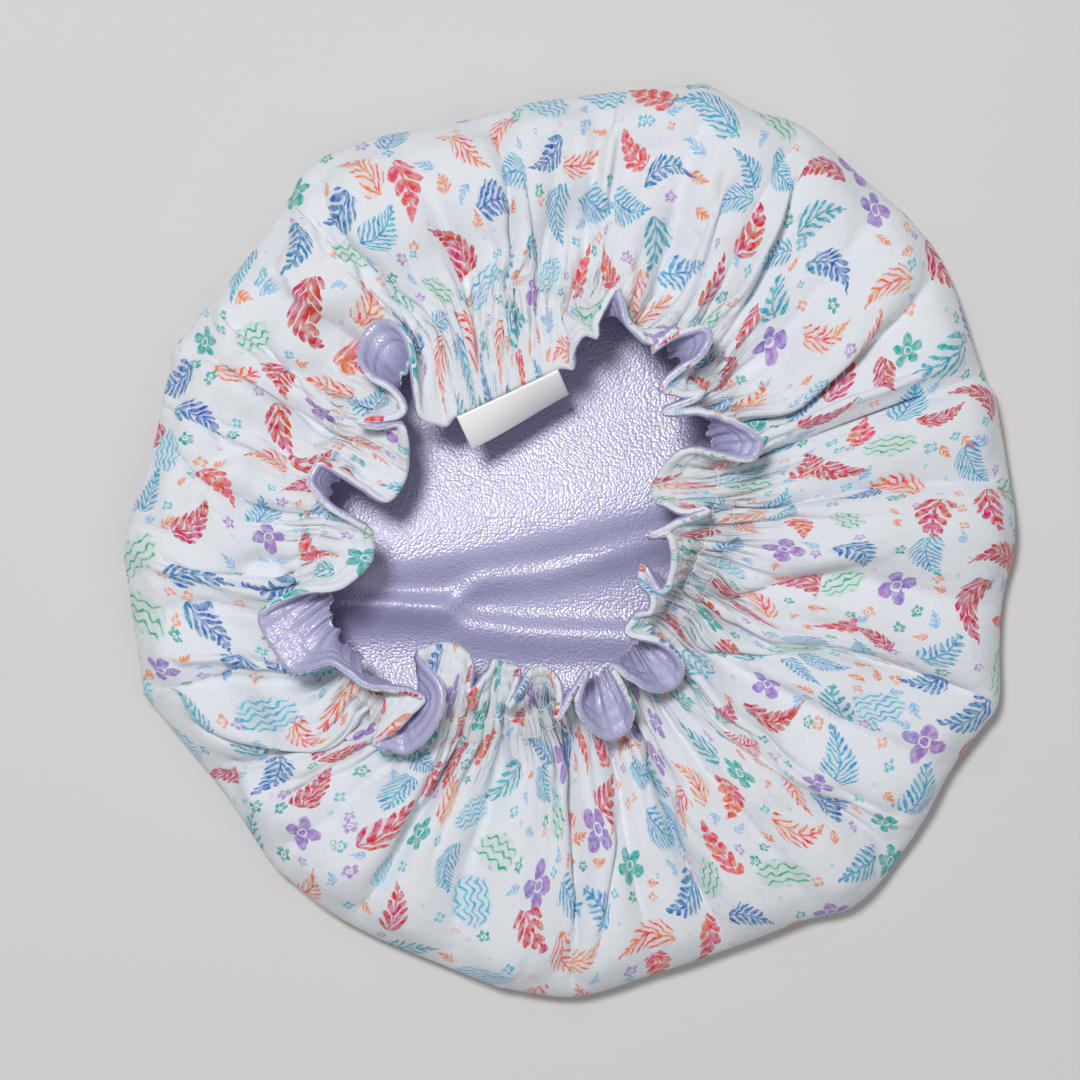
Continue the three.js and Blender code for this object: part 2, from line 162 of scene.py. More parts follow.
# The cap's body is two round cloths, one over the other, that lie as a bag: the crown flat on the
# table, then over the edge and back in to the gathered ring. Its outline is read off the photograph.
OUTLINE_PIXELS = [
    (559, 101), (693, 86), (711, 88), (754, 112), (803, 129), (880, 195), (913, 225), (947, 274),
    (981, 375), (993, 397), (1008, 473), (1014, 519), (1013, 551), (1002, 597), (998, 642), (998, 688),
    (993, 710), (981, 725), (947, 774), (900, 857), (852, 906), (800, 921), (736, 944), (662, 970),
    (577, 995), (507, 987), (495, 984), (406, 949), (345, 921), (296, 884), (271, 860), (222, 786),
    (149, 701), (144, 691), (140, 658), (129, 566), (128, 529), (140, 489), (160, 427), (170, 366),
    (173, 345), (222, 293), (281, 216), (308, 167), (369, 140), (452, 124), (522, 106),
]
CUT_MIDDLE = np.array([22, -10]) * MM
EDGE_HEIGHT = 8 * MM
BROW_HEIGHT = 18 * MM
BROW_INSET = 7 * MM
SHOULDER_HEIGHT = 24 * MM
SHOULDER_SHARE = 0.42
FLOOR_HEIGHT = 0.6 * MM

# The elastic draws the cloths in to an oval ring, with the casing leaning in over the opening.
RING_LENGTH = 160 * MM
RING_WIDTH = 130 * MM
RING_TURN = math.radians(50)
RING_MIDDLE = np.array([-17, 9]) * MM
RING_HEIGHT = 21 * MM
CASING_WIDTH = 10 * MM
CASING_TILT = math.radians(32)
CASING_TOP = RING_HEIGHT + CASING_WIDTH * math.sin(CASING_TILT)
CASING_INSET = CASING_WIDTH * math.cos(CASING_TILT)
HEADER_WIDTH = 17 * MM

# Beyond the casing the cloths stand up in a ruffle. Its lip, anticlockwise from the label's
# straight stretch, is read off the photograph.
LIP_HEIGHT = 33 * MM
LIP_PIXELS = [
    (500, 400), (454, 422), (436, 421), (420, 414), (416, 392), (412, 354), (402, 331), (385, 322),
    (369, 331), (361, 349), (362, 366), (373, 378), (391, 388), (402, 401), (404, 412), (390, 419),
    (359, 422), (378, 427), (399, 424), (405, 438), (405, 467), (396, 490), (382, 500), (362, 487),
    (326, 465), (318, 468), (312, 481), (317, 491), (332, 506), (367, 529), (370, 541), (370, 557),
    (359, 572), (338, 587), (309, 590), (286, 598), (263, 612), (261, 622), (271, 642), (286, 664),
    (298, 671), (313, 667), (332, 661), (347, 670), (366, 684), (386, 687), (407, 690), (423, 698),
    (410, 712), (395, 728), (374, 742), (391, 747), (406, 751), (426, 736), (439, 715), (443, 697),
    (438, 681), (418, 657), (426, 651), (444, 646), (462, 652), (471, 666), (470, 692), (487, 674),
    (493, 663), (505, 667), (519, 674), (508, 706), (521, 686), (529, 673), (544, 669), (557, 680),
    (560, 698), (557, 719), (570, 695), (587, 670), (581, 686), (578, 704), (586, 721), (606, 737),
    (626, 730), (631, 712), (627, 698), (612, 669), (615, 666), (633, 678), (653, 689), (673, 686),
    (681, 672), (676, 655), (658, 641), (629, 634), (629, 625), (638, 614), (650, 610), (652, 596),
    (641, 582), (643, 565), (646, 570), (658, 590), (666, 587), (672, 567), (673, 552), (667, 535),
    (650, 536), (667, 527), (707, 510), (686, 513), (667, 506), (657, 500), (655, 487), (664, 470),
    (679, 454), (695, 450), (713, 454), (748, 459), (759, 444), (751, 434), (728, 421), (698, 413),
    (662, 413), (690, 401), (702, 393), (693, 396), (676, 394), (661, 388), (679, 370), (698, 358),
    (709, 338), (698, 330), (667, 341), (650, 353), (676, 329), (668, 337), (655, 344), (640, 338),
    (627, 325), (621, 305), (617, 290), (608, 300), (596, 323), (596, 337), (582, 334), (572, 352),
    (573, 366), (558, 370),
]


def closed_curve(points, count):
    """Points at even steps along a smooth closed curve through the given ones."""
    here = np.asarray(points, float)
    before, after, beyond = (np.roll(here, k, axis=0) for k in (1, -1, -2))
    t = np.linspace(0, 1, CURVE_PARTS, endpoint=False)[:, None, None]
    dense = here + (t * (after - before) + t ** 2 * (2 * before - 5 * here + 4 * after - beyond)
                    + t ** 3 * (3 * here - before - 3 * after + beyond)) / 2
    dense = dense.transpose(1, 0, 2).reshape(-1, here.shape[1])
    closed = np.vstack([dense, dense[:1]])
    run = np.concatenate([[0], np.cumsum(np.linalg.norm(np.diff(closed, axis=0), axis=1))])
    at = np.linspace(0, run[-1], count, endpoint=False)
    return np.column_stack([np.interp(at, run, axis) for axis in closed.T])


def rounded(values, width):
    """Evens out values round a closed row, over about so many of them."""
    reach = np.arange(-3 * width, 3 * width + 1)
    weights = np.exp(-(reach / width) ** 2)
    padded = np.concatenate([values[-3 * width:], values, values[:3 * width]])
    return np.convolve(padded, weights / weights.sum(), mode="valid")


def turned(reach, bearing):
    """East and north of a place, from its reach and bearing."""
    return np.stack([reach * np.cos(bearing), reach * np.sin(bearing)], axis=-1)


TURN = 2 * math.pi
CURVE_PARTS = 12
OUTLINE_STEPS = 4000
outline = closed_curve(from_photo(OUTLINE_PIXELS, EDGE_HEIGHT)[::-1], OUTLINE_STEPS)
outline_bearing = np.unwrap(np.arctan2(outline[:, 1], outline[:, 0]))
outline_reach = np.linalg.norm(outline, axis=1)


def outline_at(bearing):
    """The outline's reach at a bearing."""
    start = outline_bearing[0]
    return np.interp((bearing - start) % TURN, np.append(outline_bearing, start + TURN) - start,
                     np.append(outline_reach, outline_reach[0]))


# Folds leave the outline at one bearing and reach the ring at another, in degrees about the middle
# of each, because the ring is oval and lies off the body's middle.
FOLD_TURNS = [
    (0, -7), (36, 24), (61, 46), (99, 90), (125, 116), (154, 157), (180, 194), (201, 222), (235, 251),
    (271, 282), (290, 298), (316, 315), (338, 335), (360, 353),
]
fold_turns = np.radians(np.array(FOLD_TURNS, float))


def ring_bearing_of(bearing):
    """Where on the ring a fold ends that leaves the outline at a bearing."""
    whole = np.floor(bearing / TURN)
    return np.interp(bearing - whole * TURN, fold_turns[:, 0], fold_turns[:, 1]) + whole * TURN


def ring_reach(bearing, inset):
    """The oval ring's reach at a bearing, or that of an oval inside it."""
    along, across = RING_LENGTH / 2 - inset, RING_WIDTH / 2 - inset
    turn = bearing - RING_TURN
    return along * across / np.hypot(across * np.cos(turn), along * np.sin(turn))


# Where the lip's points belong on the ring: their own bearing, kept rising along the lip, evened
# with their share of the lip's length so that no loop hangs from a single point.
LIP_STEPS = 3000
lip = closed_curve(from_photo(LIP_PIXELS, LIP_HEIGHT), LIP_STEPS)
from_ring = lip - RING_MIDDLE
lip_bearing = np.unwrap(np.arctan2(from_ring[:, 1], from_ring[:, 0]))
lip_start = lip_bearing[0]
rising = (np.maximum.accumulate(lip_bearing) + np.minimum.accumulate(lip_bearing[::-1])[::-1]) / 2
evenly = lip_start + TURN * np.arange(LIP_STEPS) / LIP_STEPS
EVEN_SHARE = 0.4
lip_root_bearing = rising + EVEN_SHARE * (evenly - rising)

# The cloths' samples round the cap, set closer where the lip is long for its bearing
AROUND = 900
FINE_AROUND = 8 * AROUND
BY_BEARING, BY_LIP = 0.5, 0.5
fine_bearing = np.linspace(0, TURN, FINE_AROUND, endpoint=False)
fine_root = ring_bearing_of(fine_bearing)
lip_at = np.interp((fine_root - lip_start) % TURN, lip_root_bearing - lip_start, np.arange(LIP_STEPS),
                   right=LIP_STEPS)
jump = int(np.argmax(np.abs(np.diff(lip_at))))
lip_at[jump + 1:] += LIP_STEPS
density = BY_BEARING * fine_bearing / TURN + BY_LIP * (lip_at - lip_at[0]) / LIP_STEPS
bearing = np.interp((np.arange(AROUND) + 0.5) / AROUND, density, fine_bearing)
root_bearing = ring_bearing_of(bearing)
lip_index = np.interp(bearing, fine_bearing, lip_at)


def lip_point(index):
    """Places along the lip, by step number with its part."""
    low = np.floor(index).astype(int)
    part = (index - low)[:, None]
    return (1 - part) * lip[low % LIP_STEPS] + part * lip[(low + 1) % LIP_STEPS]


def ramp(x, low, high):
    """Rises smoothly from 0 at low to 1 at high."""
    t = np.clip((x - low) / (high - low), 0, 1)
    return t * t * (3 - 2 * t)


# Where the label is sewn in, the lip runs straight, and its seam lies just behind the label's hinge
hinge = frame["record"]["behaviour"]["joints"][0]
label_root = np.array(hinge["pos_m"])
label_right = -np.array(hinge["axis"])
label_in = np.array([label_right[1], -label_right[0], 0])
LABEL_LENGTH = 36 * MM
LABEL_LIP_BEHIND = 2.2 * MM
LABEL_LIP_ENDS = 5 * MM
LABEL_LIP_REACH = 8 * MM
lip_plan = lip_point(lip_index)
from_label = lip_plan - label_root[:2]
past_end = np.abs(from_label @ label_right[:2]) - LABEL_LENGTH / 2
ahead = from_label @ label_in[:2]
at_label = (1 - ramp(past_end, 0, LABEL_LIP_ENDS)) * (np.abs(ahead) < LABEL_LIP_REACH)
lip_plan -= (at_label * (ahead + LABEL_LIP_BEHIND))[:, None] * label_in[:2]


# The surface half way between the cloths runs smoothly through these rows, each at its distance
# in mm from the middle of the cut circle
MIDWAY_CUT = 66
CROWN_CUT = 126
TOE_CUT = 139.5
EDGE_CUT = 149.5
BROW_CUT = 162
SHOULDER_CUT = 188
CASING_CUT = 234
HEADER_CUT = CASING_CUT + round(CASING_WIDTH / MM)
LIP_CUT = HEADER_CUT + round(HEADER_WIDTH / MM)
CUT_RADIUS = LIP_CUT * MM
MIDWAY_SHARE = 0.55
CROWN_SHARE = 0.14
TOE_SHARE = 0.045
TOE_LIFT = 0.8 * MM
LEAST_RISE = 3 * MM
MOST_RISE = 13 * MM
RISE_EASE = 8
MID_HEADER_CUT = HEADER_CUT + 7
MID_HEADER_SHARE = 0.42
MID_HEADER_LIFT = 1.5 * MM


def row(cut, plan, height):
    """A row's distance in the cut circle, and its points round the cap."""
    points = np.empty((AROUND, 3))
    points[:, :2] = plan
    points[:, 2] = height
    return cut * MM, points


edge_plan = turned(outline_at(bearing), bearing)


def inwards_of_edge(share):
    """Places at a share of the way from the outline to the cut circle's middle."""
    return share * CUT_MIDDLE + (1 - share) * edge_plan


ring_plan = RING_MIDDLE + turned(ring_reach(root_bearing, 0), root_bearing)
top_plan = RING_MIDDLE + turned(ring_reach(root_bearing, CASING_INSET), root_bearing)
brow_plan = edge_plan * (1 - BROW_INSET / np.linalg.norm(edge_plan, axis=1))[:, None]
shoulder_plan = edge_plan + SHOULDER_SHARE * (ring_plan - edge_plan)
span = np.linalg.norm(lip_plan - top_plan, axis=1)
lip_rise = np.sqrt(np.clip(HEADER_WIDTH ** 2 - span ** 2, LEAST_RISE ** 2, MOST_RISE ** 2))
lip_rise = rounded(lip_rise, RISE_EASE)
lip_rise += at_label * (label_root[2] - CASING_TOP - lip_rise)
mid_plan = top_plan + MID_HEADER_SHARE * (lip_plan - top_plan)
base_rows = [
    row(0, inwards_of_edge(1), FLOOR_HEIGHT),
    row(MIDWAY_CUT, inwards_of_edge(MIDWAY_SHARE), FLOOR_HEIGHT),
    row(CROWN_CUT, inwards_of_edge(CROWN_SHARE), FLOOR_HEIGHT),
    row(TOE_CUT, inwards_of_edge(TOE_SHARE), FLOOR_HEIGHT + TOE_LIFT),
    row(EDGE_CUT, edge_plan, EDGE_HEIGHT),
    row(BROW_CUT, brow_plan, BROW_HEIGHT),
    row(SHOULDER_CUT, shoulder_plan, SHOULDER_HEIGHT),
    row(CASING_CUT, ring_plan, RING_HEIGHT),
    row(HEADER_CUT, top_plan, CASING_TOP),
    row(MID_HEADER_CUT, mid_plan, CASING_TOP + 0.5 * lip_rise + MID_HEADER_LIFT),
    row(LIP_CUT, lip_plan, CASING_TOP + lip_rise),
]
row_cuts = np.array([cut for cut, points in base_rows])
row_points = np.array([points for cut, points in base_rows])


def smooth_through(at):
    """The surface at distances from the middle of the cut circle, through the rows."""
    slopes = np.gradient(row_points, row_cuts, axis=0)
    low = np.clip(np.searchsorted(row_cuts, at, side="right") - 1, 0, len(row_cuts) - 2)
    width = (row_cuts[low + 1] - row_cuts[low])[:, None, None]
    t = (at - row_cuts[low])[:, None, None] / width
    return ((1 + 2 * t) * (1 - t) ** 2 * row_points[low] + t * (1 - t) ** 2 * width * slopes[low]
            + t * t * (3 - 2 * t) * row_points[low + 1] - t * t * (1 - t) * width * slopes[low + 1])


# The net's rows: how far each stretch of them reaches from the cut circle's middle, and their number
NET_ROWS = [(70, 31), (CROWN_CUT, 9), (160, 14), (CASING_CUT, 44), (HEADER_CUT, 14), (LIP_CUT, 24)]
starts = [0] + [reach for reach, number in NET_ROWS]
cuts = MM * np.concatenate([np.linspace(start, reach, number + 1)[1:]
                            for start, (reach, number) in zip(starts, NET_ROWS)])
first_body_row, first_casing_row = (sum(number for reach, number in NET_ROWS[:k]) for k in (2, 4))
base = smooth_through(cuts)

# Each place's distance from the middle of the cut circle: as far as it is along the surface, with
# the casing sewn at one distance all round. The circle lies off the outline's middle, because the
# ring does so the other way.
from_cut_middle = edge_plan - CUT_MIDDLE
flat_bearing = np.unwrap(np.arctan2(from_cut_middle[:, 1], from_cut_middle[:, 0]))
from_first = base[:1] - np.array([*CUT_MIDDLE, FLOOR_HEIGHT])
run_out = np.linalg.norm(np.concatenate([from_first, np.diff(base, axis=0)]), axis=2).cumsum(axis=0)
ring_row = int(np.argmin(np.abs(cuts - CASING_CUT * MM)))
flat_reach = np.where(cuts[:, None] < CASING_CUT * MM, run_out * CASING_CUT * MM / run_out[ring_row],
                      cuts[:, None])


def steps_round(surface):
    """Half the way from each point's neighbour before it to the one after it, round the cap."""
    return (np.roll(surface, -1, axis=1) - np.roll(surface, 1, axis=1)) / 2


def outward(surface):
    """Unit directions out of the cap, square to a surface given as rows of points."""
    across = np.gradient(surface, axis=0)
    square = np.cross(steps_round(surface), across)
    return square / np.linalg.norm(square, axis=2, keepdims=True)


# Gathering takes up the cloth's spare length in folds. They branch towards the ring: the creases
# that show from the outline in, then one more between each two, then the casing's fine puckers.
# Degrees, depth share, and how far the ridge after it leans over, anticlockwise for more than 0.
CREASES = [
    (8, 0.6, 0.2), (22, 0.7, -0.3), (36, 1.2, -0.8), (47, 0.6, 0.2), (60, 1.1, -0.7), (72, 0.6, 0.1),
    (86, 0.7, 0.2), (101, 1.1, -0.8), (113, 0.6, 0.2), (125, 1.2, -0.5), (140, 0.6, 1.1),
    (153, 1.4, 0.2), (167, 0.6, -0.3), (178, 1.0, 0.3), (190, 0.5, 1.2), (201, 1.6, 0.2),
    (214, 0.7, -0.4), (227, 0.6, 0.3), (240, 0.8, -0.2), (254, 0.7, 0.8), (270, 1.2, 0.1),
    (281, 0.7, 0.4), (291, 1.0, -0.3), (303, 0.6, 0.2), (316, 1.4, -1.1), (329, 0.6, -0.2),
    (339, 1.3, -1.0), (351, 0.8, 0.3),
]
ROUNDNESS = 0.75
OFF_MIDDLE = (0.36, 0.64)
NARROW, WIDE = 0.6, 1.4
RIDGE_RISE, CREASE_DEPTH, FOLD_LEVEL = 1.3, 0.6, 0.2
HALF_DEPTHS, FINE_DEPTHS = (0.4, 1.3), (0.2, 1.5)
WANDER = math.radians(2.4)
WANDER_GROWS = (155, 192)
chance = np.random.default_rng(7)


def between(valleys):
    """Adds a valley between each two, off the middle, and returns them all in order."""
    gaps = np.diff(np.append(valleys, valleys[0] + TURN))
    added = valleys + gaps * chance.uniform(*OFF_MIDDLE, len(valleys))
    return np.sort(np.concatenate([valleys, added]) % TURN)


def fold_field(valleys, depths, at):
    """Height of a round of folds, about -1 in a valley to 1 on a ridge, and each ridge's number."""
    closed = np.concatenate([valleys, [valleys[0] + TURN]])
    turn = (at - valleys[0]) % TURN + valleys[0]
    k = np.clip(np.searchsorted(closed, turn, side="right") - 1, 0, len(valleys) - 1)
    width = closed[k + 1] - closed[k]
    x = (turn - closed[k]) / width
    depth = depths[k] + (depths[(k + 1) % len(depths)] - depths[k]) * ramp(x, 0, 1)
    ridge = np.sin(math.pi * x) ** ROUNDNESS * np.clip(width * len(valleys) / TURN, NARROW, WIDE)
    return RIDGE_RISE * ridge - CREASE_DEPTH * depth - FOLD_LEVEL, k


def ripples(at, cut, rounds, length, number):
    """Gentle unevenness, so many rounds about the cap and so long across it."""
    field = 0
    for _ in range(number):
        count = chance.integers(rounds[0], rounds[1] + 1)
        field = field + np.sin(count * at + cut / length * chance.uniform(-1, 1) + chance.uniform(0, TURN))
    return field / math.sqrt(number)


creases = np.array(CREASES)
main_valleys = np.radians(creases[:, 0])
half_valleys = between(main_valleys)
fine_valleys = between(half_valleys)
cut_grid = cuts[:, None] / MM
around_grid = np.broadcast_to(bearing, base.shape[:2])
wandering = ripples(around_grid, cut_grid, rounds=(3, 11), length=30, number=6)
folded_at = around_grid + WANDER * wandering * ramp(cut_grid, *WANDER_GROWS)
main, main_fold = fold_field(main_valleys, creases[:, 1], folded_at)
half = fold_field(half_valleys, chance.uniform(*HALF_DEPTHS, len(half_valleys)), folded_at)[0]
fine = fold_field(fine_valleys, chance.uniform(*FINE_DEPTHS, len(fine_valleys)), folded_at)[0]

# Each row has more cloth than room. That fullness, shared among the three rounds of folds, sets
# how high they stand. A pair is where, in mm along the cut, a round of folds grows, thins or ends.
FOLDS_GROW = (150, 166)
MOST_FULLNESS = 3
MOST_IN_A_ROUND = 2
STEEPNESS = 2.6
LEAN_FROM = 0.8
MAIN_THINS, MAIN_THINNED = (186, CASING_CUT - 3), 0.55
MAIN_ENDS = (CASING_CUT + 3, HEADER_CUT + 5)
MAIN_HIGHEST = 9.5 * MM
HALF_GROWS, HALF_SHARE = (176, 216), 0.36
HALF_ENDS = (CASING_CUT + 8, HEADER_CUT + 13)
FINE_GROWS, FINE_SHARE = (208, CASING_CUT + 1), 0.62
FINE_THINS, FINE_THINNED = (HEADER_CUT, HEADER_CUT + 13), 0.8
CASING_CALMS, CASING_CALMED = (CASING_CUT - 10, CASING_CUT + 2), 0.45
RIPPLE_HEIGHT = 0.5 * MM
RIPPLES_GROW, RIPPLES_END = (145, 170), (CASING_CUT - 8, CASING_CUT + 4)
step_turn = (np.roll(flat_bearing, -1) - np.roll(flat_bearing, 1)) % TURN / 2
step_length = np.linalg.norm(steps_round(base), axis=2)
fullness = np.clip(flat_reach * step_turn / step_length, 1, MOST_FULLNESS)
main_width = TURN / len(main_valleys) * step_length / step_turn


def fold_height(share, width):
    """How high folds of a width stand that take up a share of the fullness."""
    part = np.clip(fullness ** share, 1, MOST_IN_A_ROUND)
    return width * np.sqrt(part ** 2 - 1) / STEEPNESS


casing_calm = 1 - CASING_CALMED * ramp(cut_grid, *CASING_CALMS)
main_height = fold_height(1 - MAIN_THINNED * ramp(cut_grid, *MAIN_THINS), main_width)
main_height = np.clip(main_height, 0, MAIN_HIGHEST) * casing_calm * (1 - ramp(cut_grid, *MAIN_ENDS))
half_height = fold_height(HALF_SHARE * ramp(cut_grid, *HALF_GROWS), main_width / 2)
half_height *= casing_calm * (1 - ramp(cut_grid, *HALF_ENDS))
fine_height = fold_height(FINE_SHARE * ramp(cut_grid, *FINE_GROWS), main_width / 4)
fine_height *= 1 - FINE_THINNED * ramp(cut_grid, *FINE_THINS)

# The loop left of the label has a narrow neck, so its puckers are low
LOOP = from_photo([(392, 376)], LIP_HEIGHT)[0]
LOOP_REACH = 15 * MM
LOOP_CALM = 0.85
CALM_GROWS = (CASING_CUT - 5, HEADER_CUT - 4)
in_loop = np.exp(-(np.linalg.norm(lip_plan - LOOP, axis=1) / LOOP_REACH) ** 4)
calm = 1 - LOOP_CALM * in_loop * ramp(cut_grid, *CALM_GROWS)
half_height *= calm
fine_height *= calm

body = ramp(cut_grid, *FOLDS_GROW)
folds = (main_height * main + half_height * half) / 2 * body
uneven = ripples(around_grid, cut_grid, rounds=(9, 34), length=11, number=14)
folds += RIPPLE_HEIGHT * uneven * ramp(cut_grid, *RIPPLES_GROW) * (1 - ramp(cut_grid, *RIPPLES_END))
lean = creases[:, 2][main_fold]
sideways = steps_round(base) / step_length[:, :, None]
middle = base + outward(base) * folds[:, :, None]
middle += sideways * (lean * body * main_height * (main + LEAN_FROM) / 2)[:, :, None]

# The cloth then settles from the size that it was cut to, held along the crown and the casing, so
# that what those folds don't take up wrinkles by itself. It is simulated ten times as large.
SETTLE_FROM, SETTLE_TO = 138 * MM, (CASING_CUT + 1) * MM
LET_GO, HELD_AGAIN = (150, 157), (CASING_CUT - 4, CASING_CUT - 1)
LEAST_HOLD = 0.1
SETTLE_SCALE = 10
SETTLE_FRAMES = 24
SETTLE_STEP = 3
PUFF = 0.6
CLEARANCE = 1.2 * MM
BROAD_WIDTH = 14
BROAD_SHARE = 0.85


def squares_between(index):
    """The corners of the squares of a net whose rows are closed rings of points."""
    right = np.roll(index, -1, axis=1)
    return np.stack([index[:-1], right[:-1], right[1:], index[1:]], axis=-1).reshape(-1, 4).tolist()


def settle(surface):
    """The surface after every so many of its rows and samples have settled as cloth."""
    at_rows = np.flatnonzero((cuts >= SETTLE_FROM) & (cuts < SETTLE_TO))[::SETTLE_STEP]
    at_round = np.arange(0, AROUND, SETTLE_STEP)
    start = surface[np.ix_(at_rows, at_round)] * SETTLE_SCALE
    rows, count = start.shape[:2]
    index = np.arange(rows * count).reshape(rows, count)
    mesh = bpy.data.meshes.new("settling_cloth")
    mesh.from_pydata(start.reshape(-1, 3).tolist(), [], squares_between(index))
    cover = bpy.data.objects.new("settling_cloth", mesh)
    bpy.context.scene.collection.objects.link(cover)
    cover.shape_key_add(name="as_laid")
    as_cut = cover.shape_key_add(name="as_cut")
    flat = np.zeros((rows, count, 3))
    flat_out = flat_reach[np.ix_(at_rows, at_round)][..., None]
    flat[:, :, :2] = flat_out * turned(SETTLE_SCALE, flat_bearing[at_round])
    as_cut.data.foreach_set("co", flat.ravel())
    held = cover.vertex_groups.new(name="held")
    cut = cuts[at_rows] / MM
    hold = np.maximum(1 - ramp(cut, *LET_GO), ramp(cut, *HELD_AGAIN))
    for number, weight in enumerate(np.clip(hold, LEAST_HOLD, 1)):
        held.add(index[number].tolist(), float(weight), "REPLACE")
    modifier = cover.modifiers.new("settle", "CLOTH")
    rules = modifier.settings
    rules.quality = 6
    rules.tension_stiffness = rules.compression_stiffness = 25
    rules.shear_stiffness = 12
    rules.bending_stiffness = 40
    rules.tension_damping = rules.compression_damping = rules.shear_damping = 12
    rules.air_damping = 3
    rules.vertex_group_mass = "held"
    rules.rest_shape_key = as_cut
    rules.effector_weights.gravity = 0.01
    rules.use_pressure = True
    rules.uniform_pressure_force = PUFF
    modifier.collision_settings.use_collision = False
    modifier.collision_settings.use_self_collision = True
    modifier.collision_settings.self_distance_min = CLEARANCE * SETTLE_SCALE
    modifier.point_cache.frame_end = SETTLE_FRAMES
    for number in range(1, SETTLE_FRAMES + 1):
        bpy.context.scene.frame_set(number)
    settled = cover.evaluated_get(bpy.context.evaluated_depsgraph_get())
    ended = np.empty(rows * count * 3)
    settled.data.vertices.foreach_get("co", ended)
    moved = (ended.reshape(rows, count, 3) - start) / SETTLE_SCALE
    # The wrinkles stay, and most of what whole stretches of the bag sink or rise by is taken back
    for axis in range(3):
        broad = np.array([rounded(ring, BROAD_WIDTH) for ring in moved[:, :, axis]])
        moved[:, :, axis] -= BROAD_SHARE * broad
    bpy.context.scene.frame_set(1)
    bpy.data.objects.remove(cover)
    # What each sampled place moved by is spread over all the samples, across the rows and then round
    spread = np.empty(surface.shape)
    for axis in range(3):
        across = [np.interp(cuts, cuts[at_rows], column, left=0, right=0) for column in moved[:, :, axis].T]
        for number, ring in enumerate(np.transpose(across)):
            full = np.interp(np.arange(AROUND), np.append(at_round, AROUND), np.append(ring, ring[0]))
            spread[number, :, axis] = rounded(full, SETTLE_STEP)
    return surface + spread


middle = settle(middle)

# In places one fold of the bag laps over the next. Each line is the lapping edge, read off the
# photograph from the ring outwards: the cloth to its left, for a positive lap, lies over the rest.
# Pixels, lap in mm, and how high the lapping cloth stands in mm.
LAPPED_FOLDS = [
    ([(372, 722), (335, 729), (290, 727), (220, 716), (150, 702)], -7.5, 3.4),
    ([(418, 752), (408, 790), (380, 845), (348, 905)], -3.5, 2.0),
    ([(655, 632), (700, 634), (760, 638), (850, 642)], 5.5, 2.6),
    ([(684, 682), (730, 722), (790, 765), (868, 828)], 4.5, 2.2),
    ([(752, 420), (790, 392), (835, 352), (898, 300)], 6.0, 3.0),
    ([(716, 330), (738, 285), (768, 215), (800, 134)], 4.5, 2.4),
    ([(650, 590), (720, 585), (800, 560), (905, 548)], 4.5, 2.4),
    ([(428, 312), (400, 275), (352, 222), (310, 172)], -5.0, 2.6),
    ([(322, 432), (280, 418), (228, 385), (176, 348)], 4.5, 2.4),
    ([(604, 790), (600, 850), (588, 925), (578, 990)], -4.5, 2.2),
    ([(520, 292), (519, 240), (512, 185), (506, 134)], 4.0, 2.0),
    ([(682, 778), (690, 815), (696, 870)], 3.5, 2.0),
    ([(262, 560), (215, 560), (150, 548)], -4.0, 2.2),
]
LAP_HEIGHT = 22 * MM
LAP_REACH = 9
LAP_TURN = 4.6
LAP_NEAR = 30
LAP_GROWN, LAP_FADES = 0.25, 0.55
LAPS_BEGIN, LAPS_END = (158, 172), (CASING_CUT - 8, CASING_CUT)
STAND_MORE = 1.35
STAND_AT, STAND_WIDTH = 2, 5
HOLLOW_SHARE, HOLLOW_AT, HOLLOW_WIDTH = 0.9, 0.8 * LAP_TURN, 2.6
EASE_ROUNDS = 7
EASE_WIDTH = 6
EASE_STEP, EASE_REACH = 0.5, 1.5
TOP_PLY = 0.45 * MM


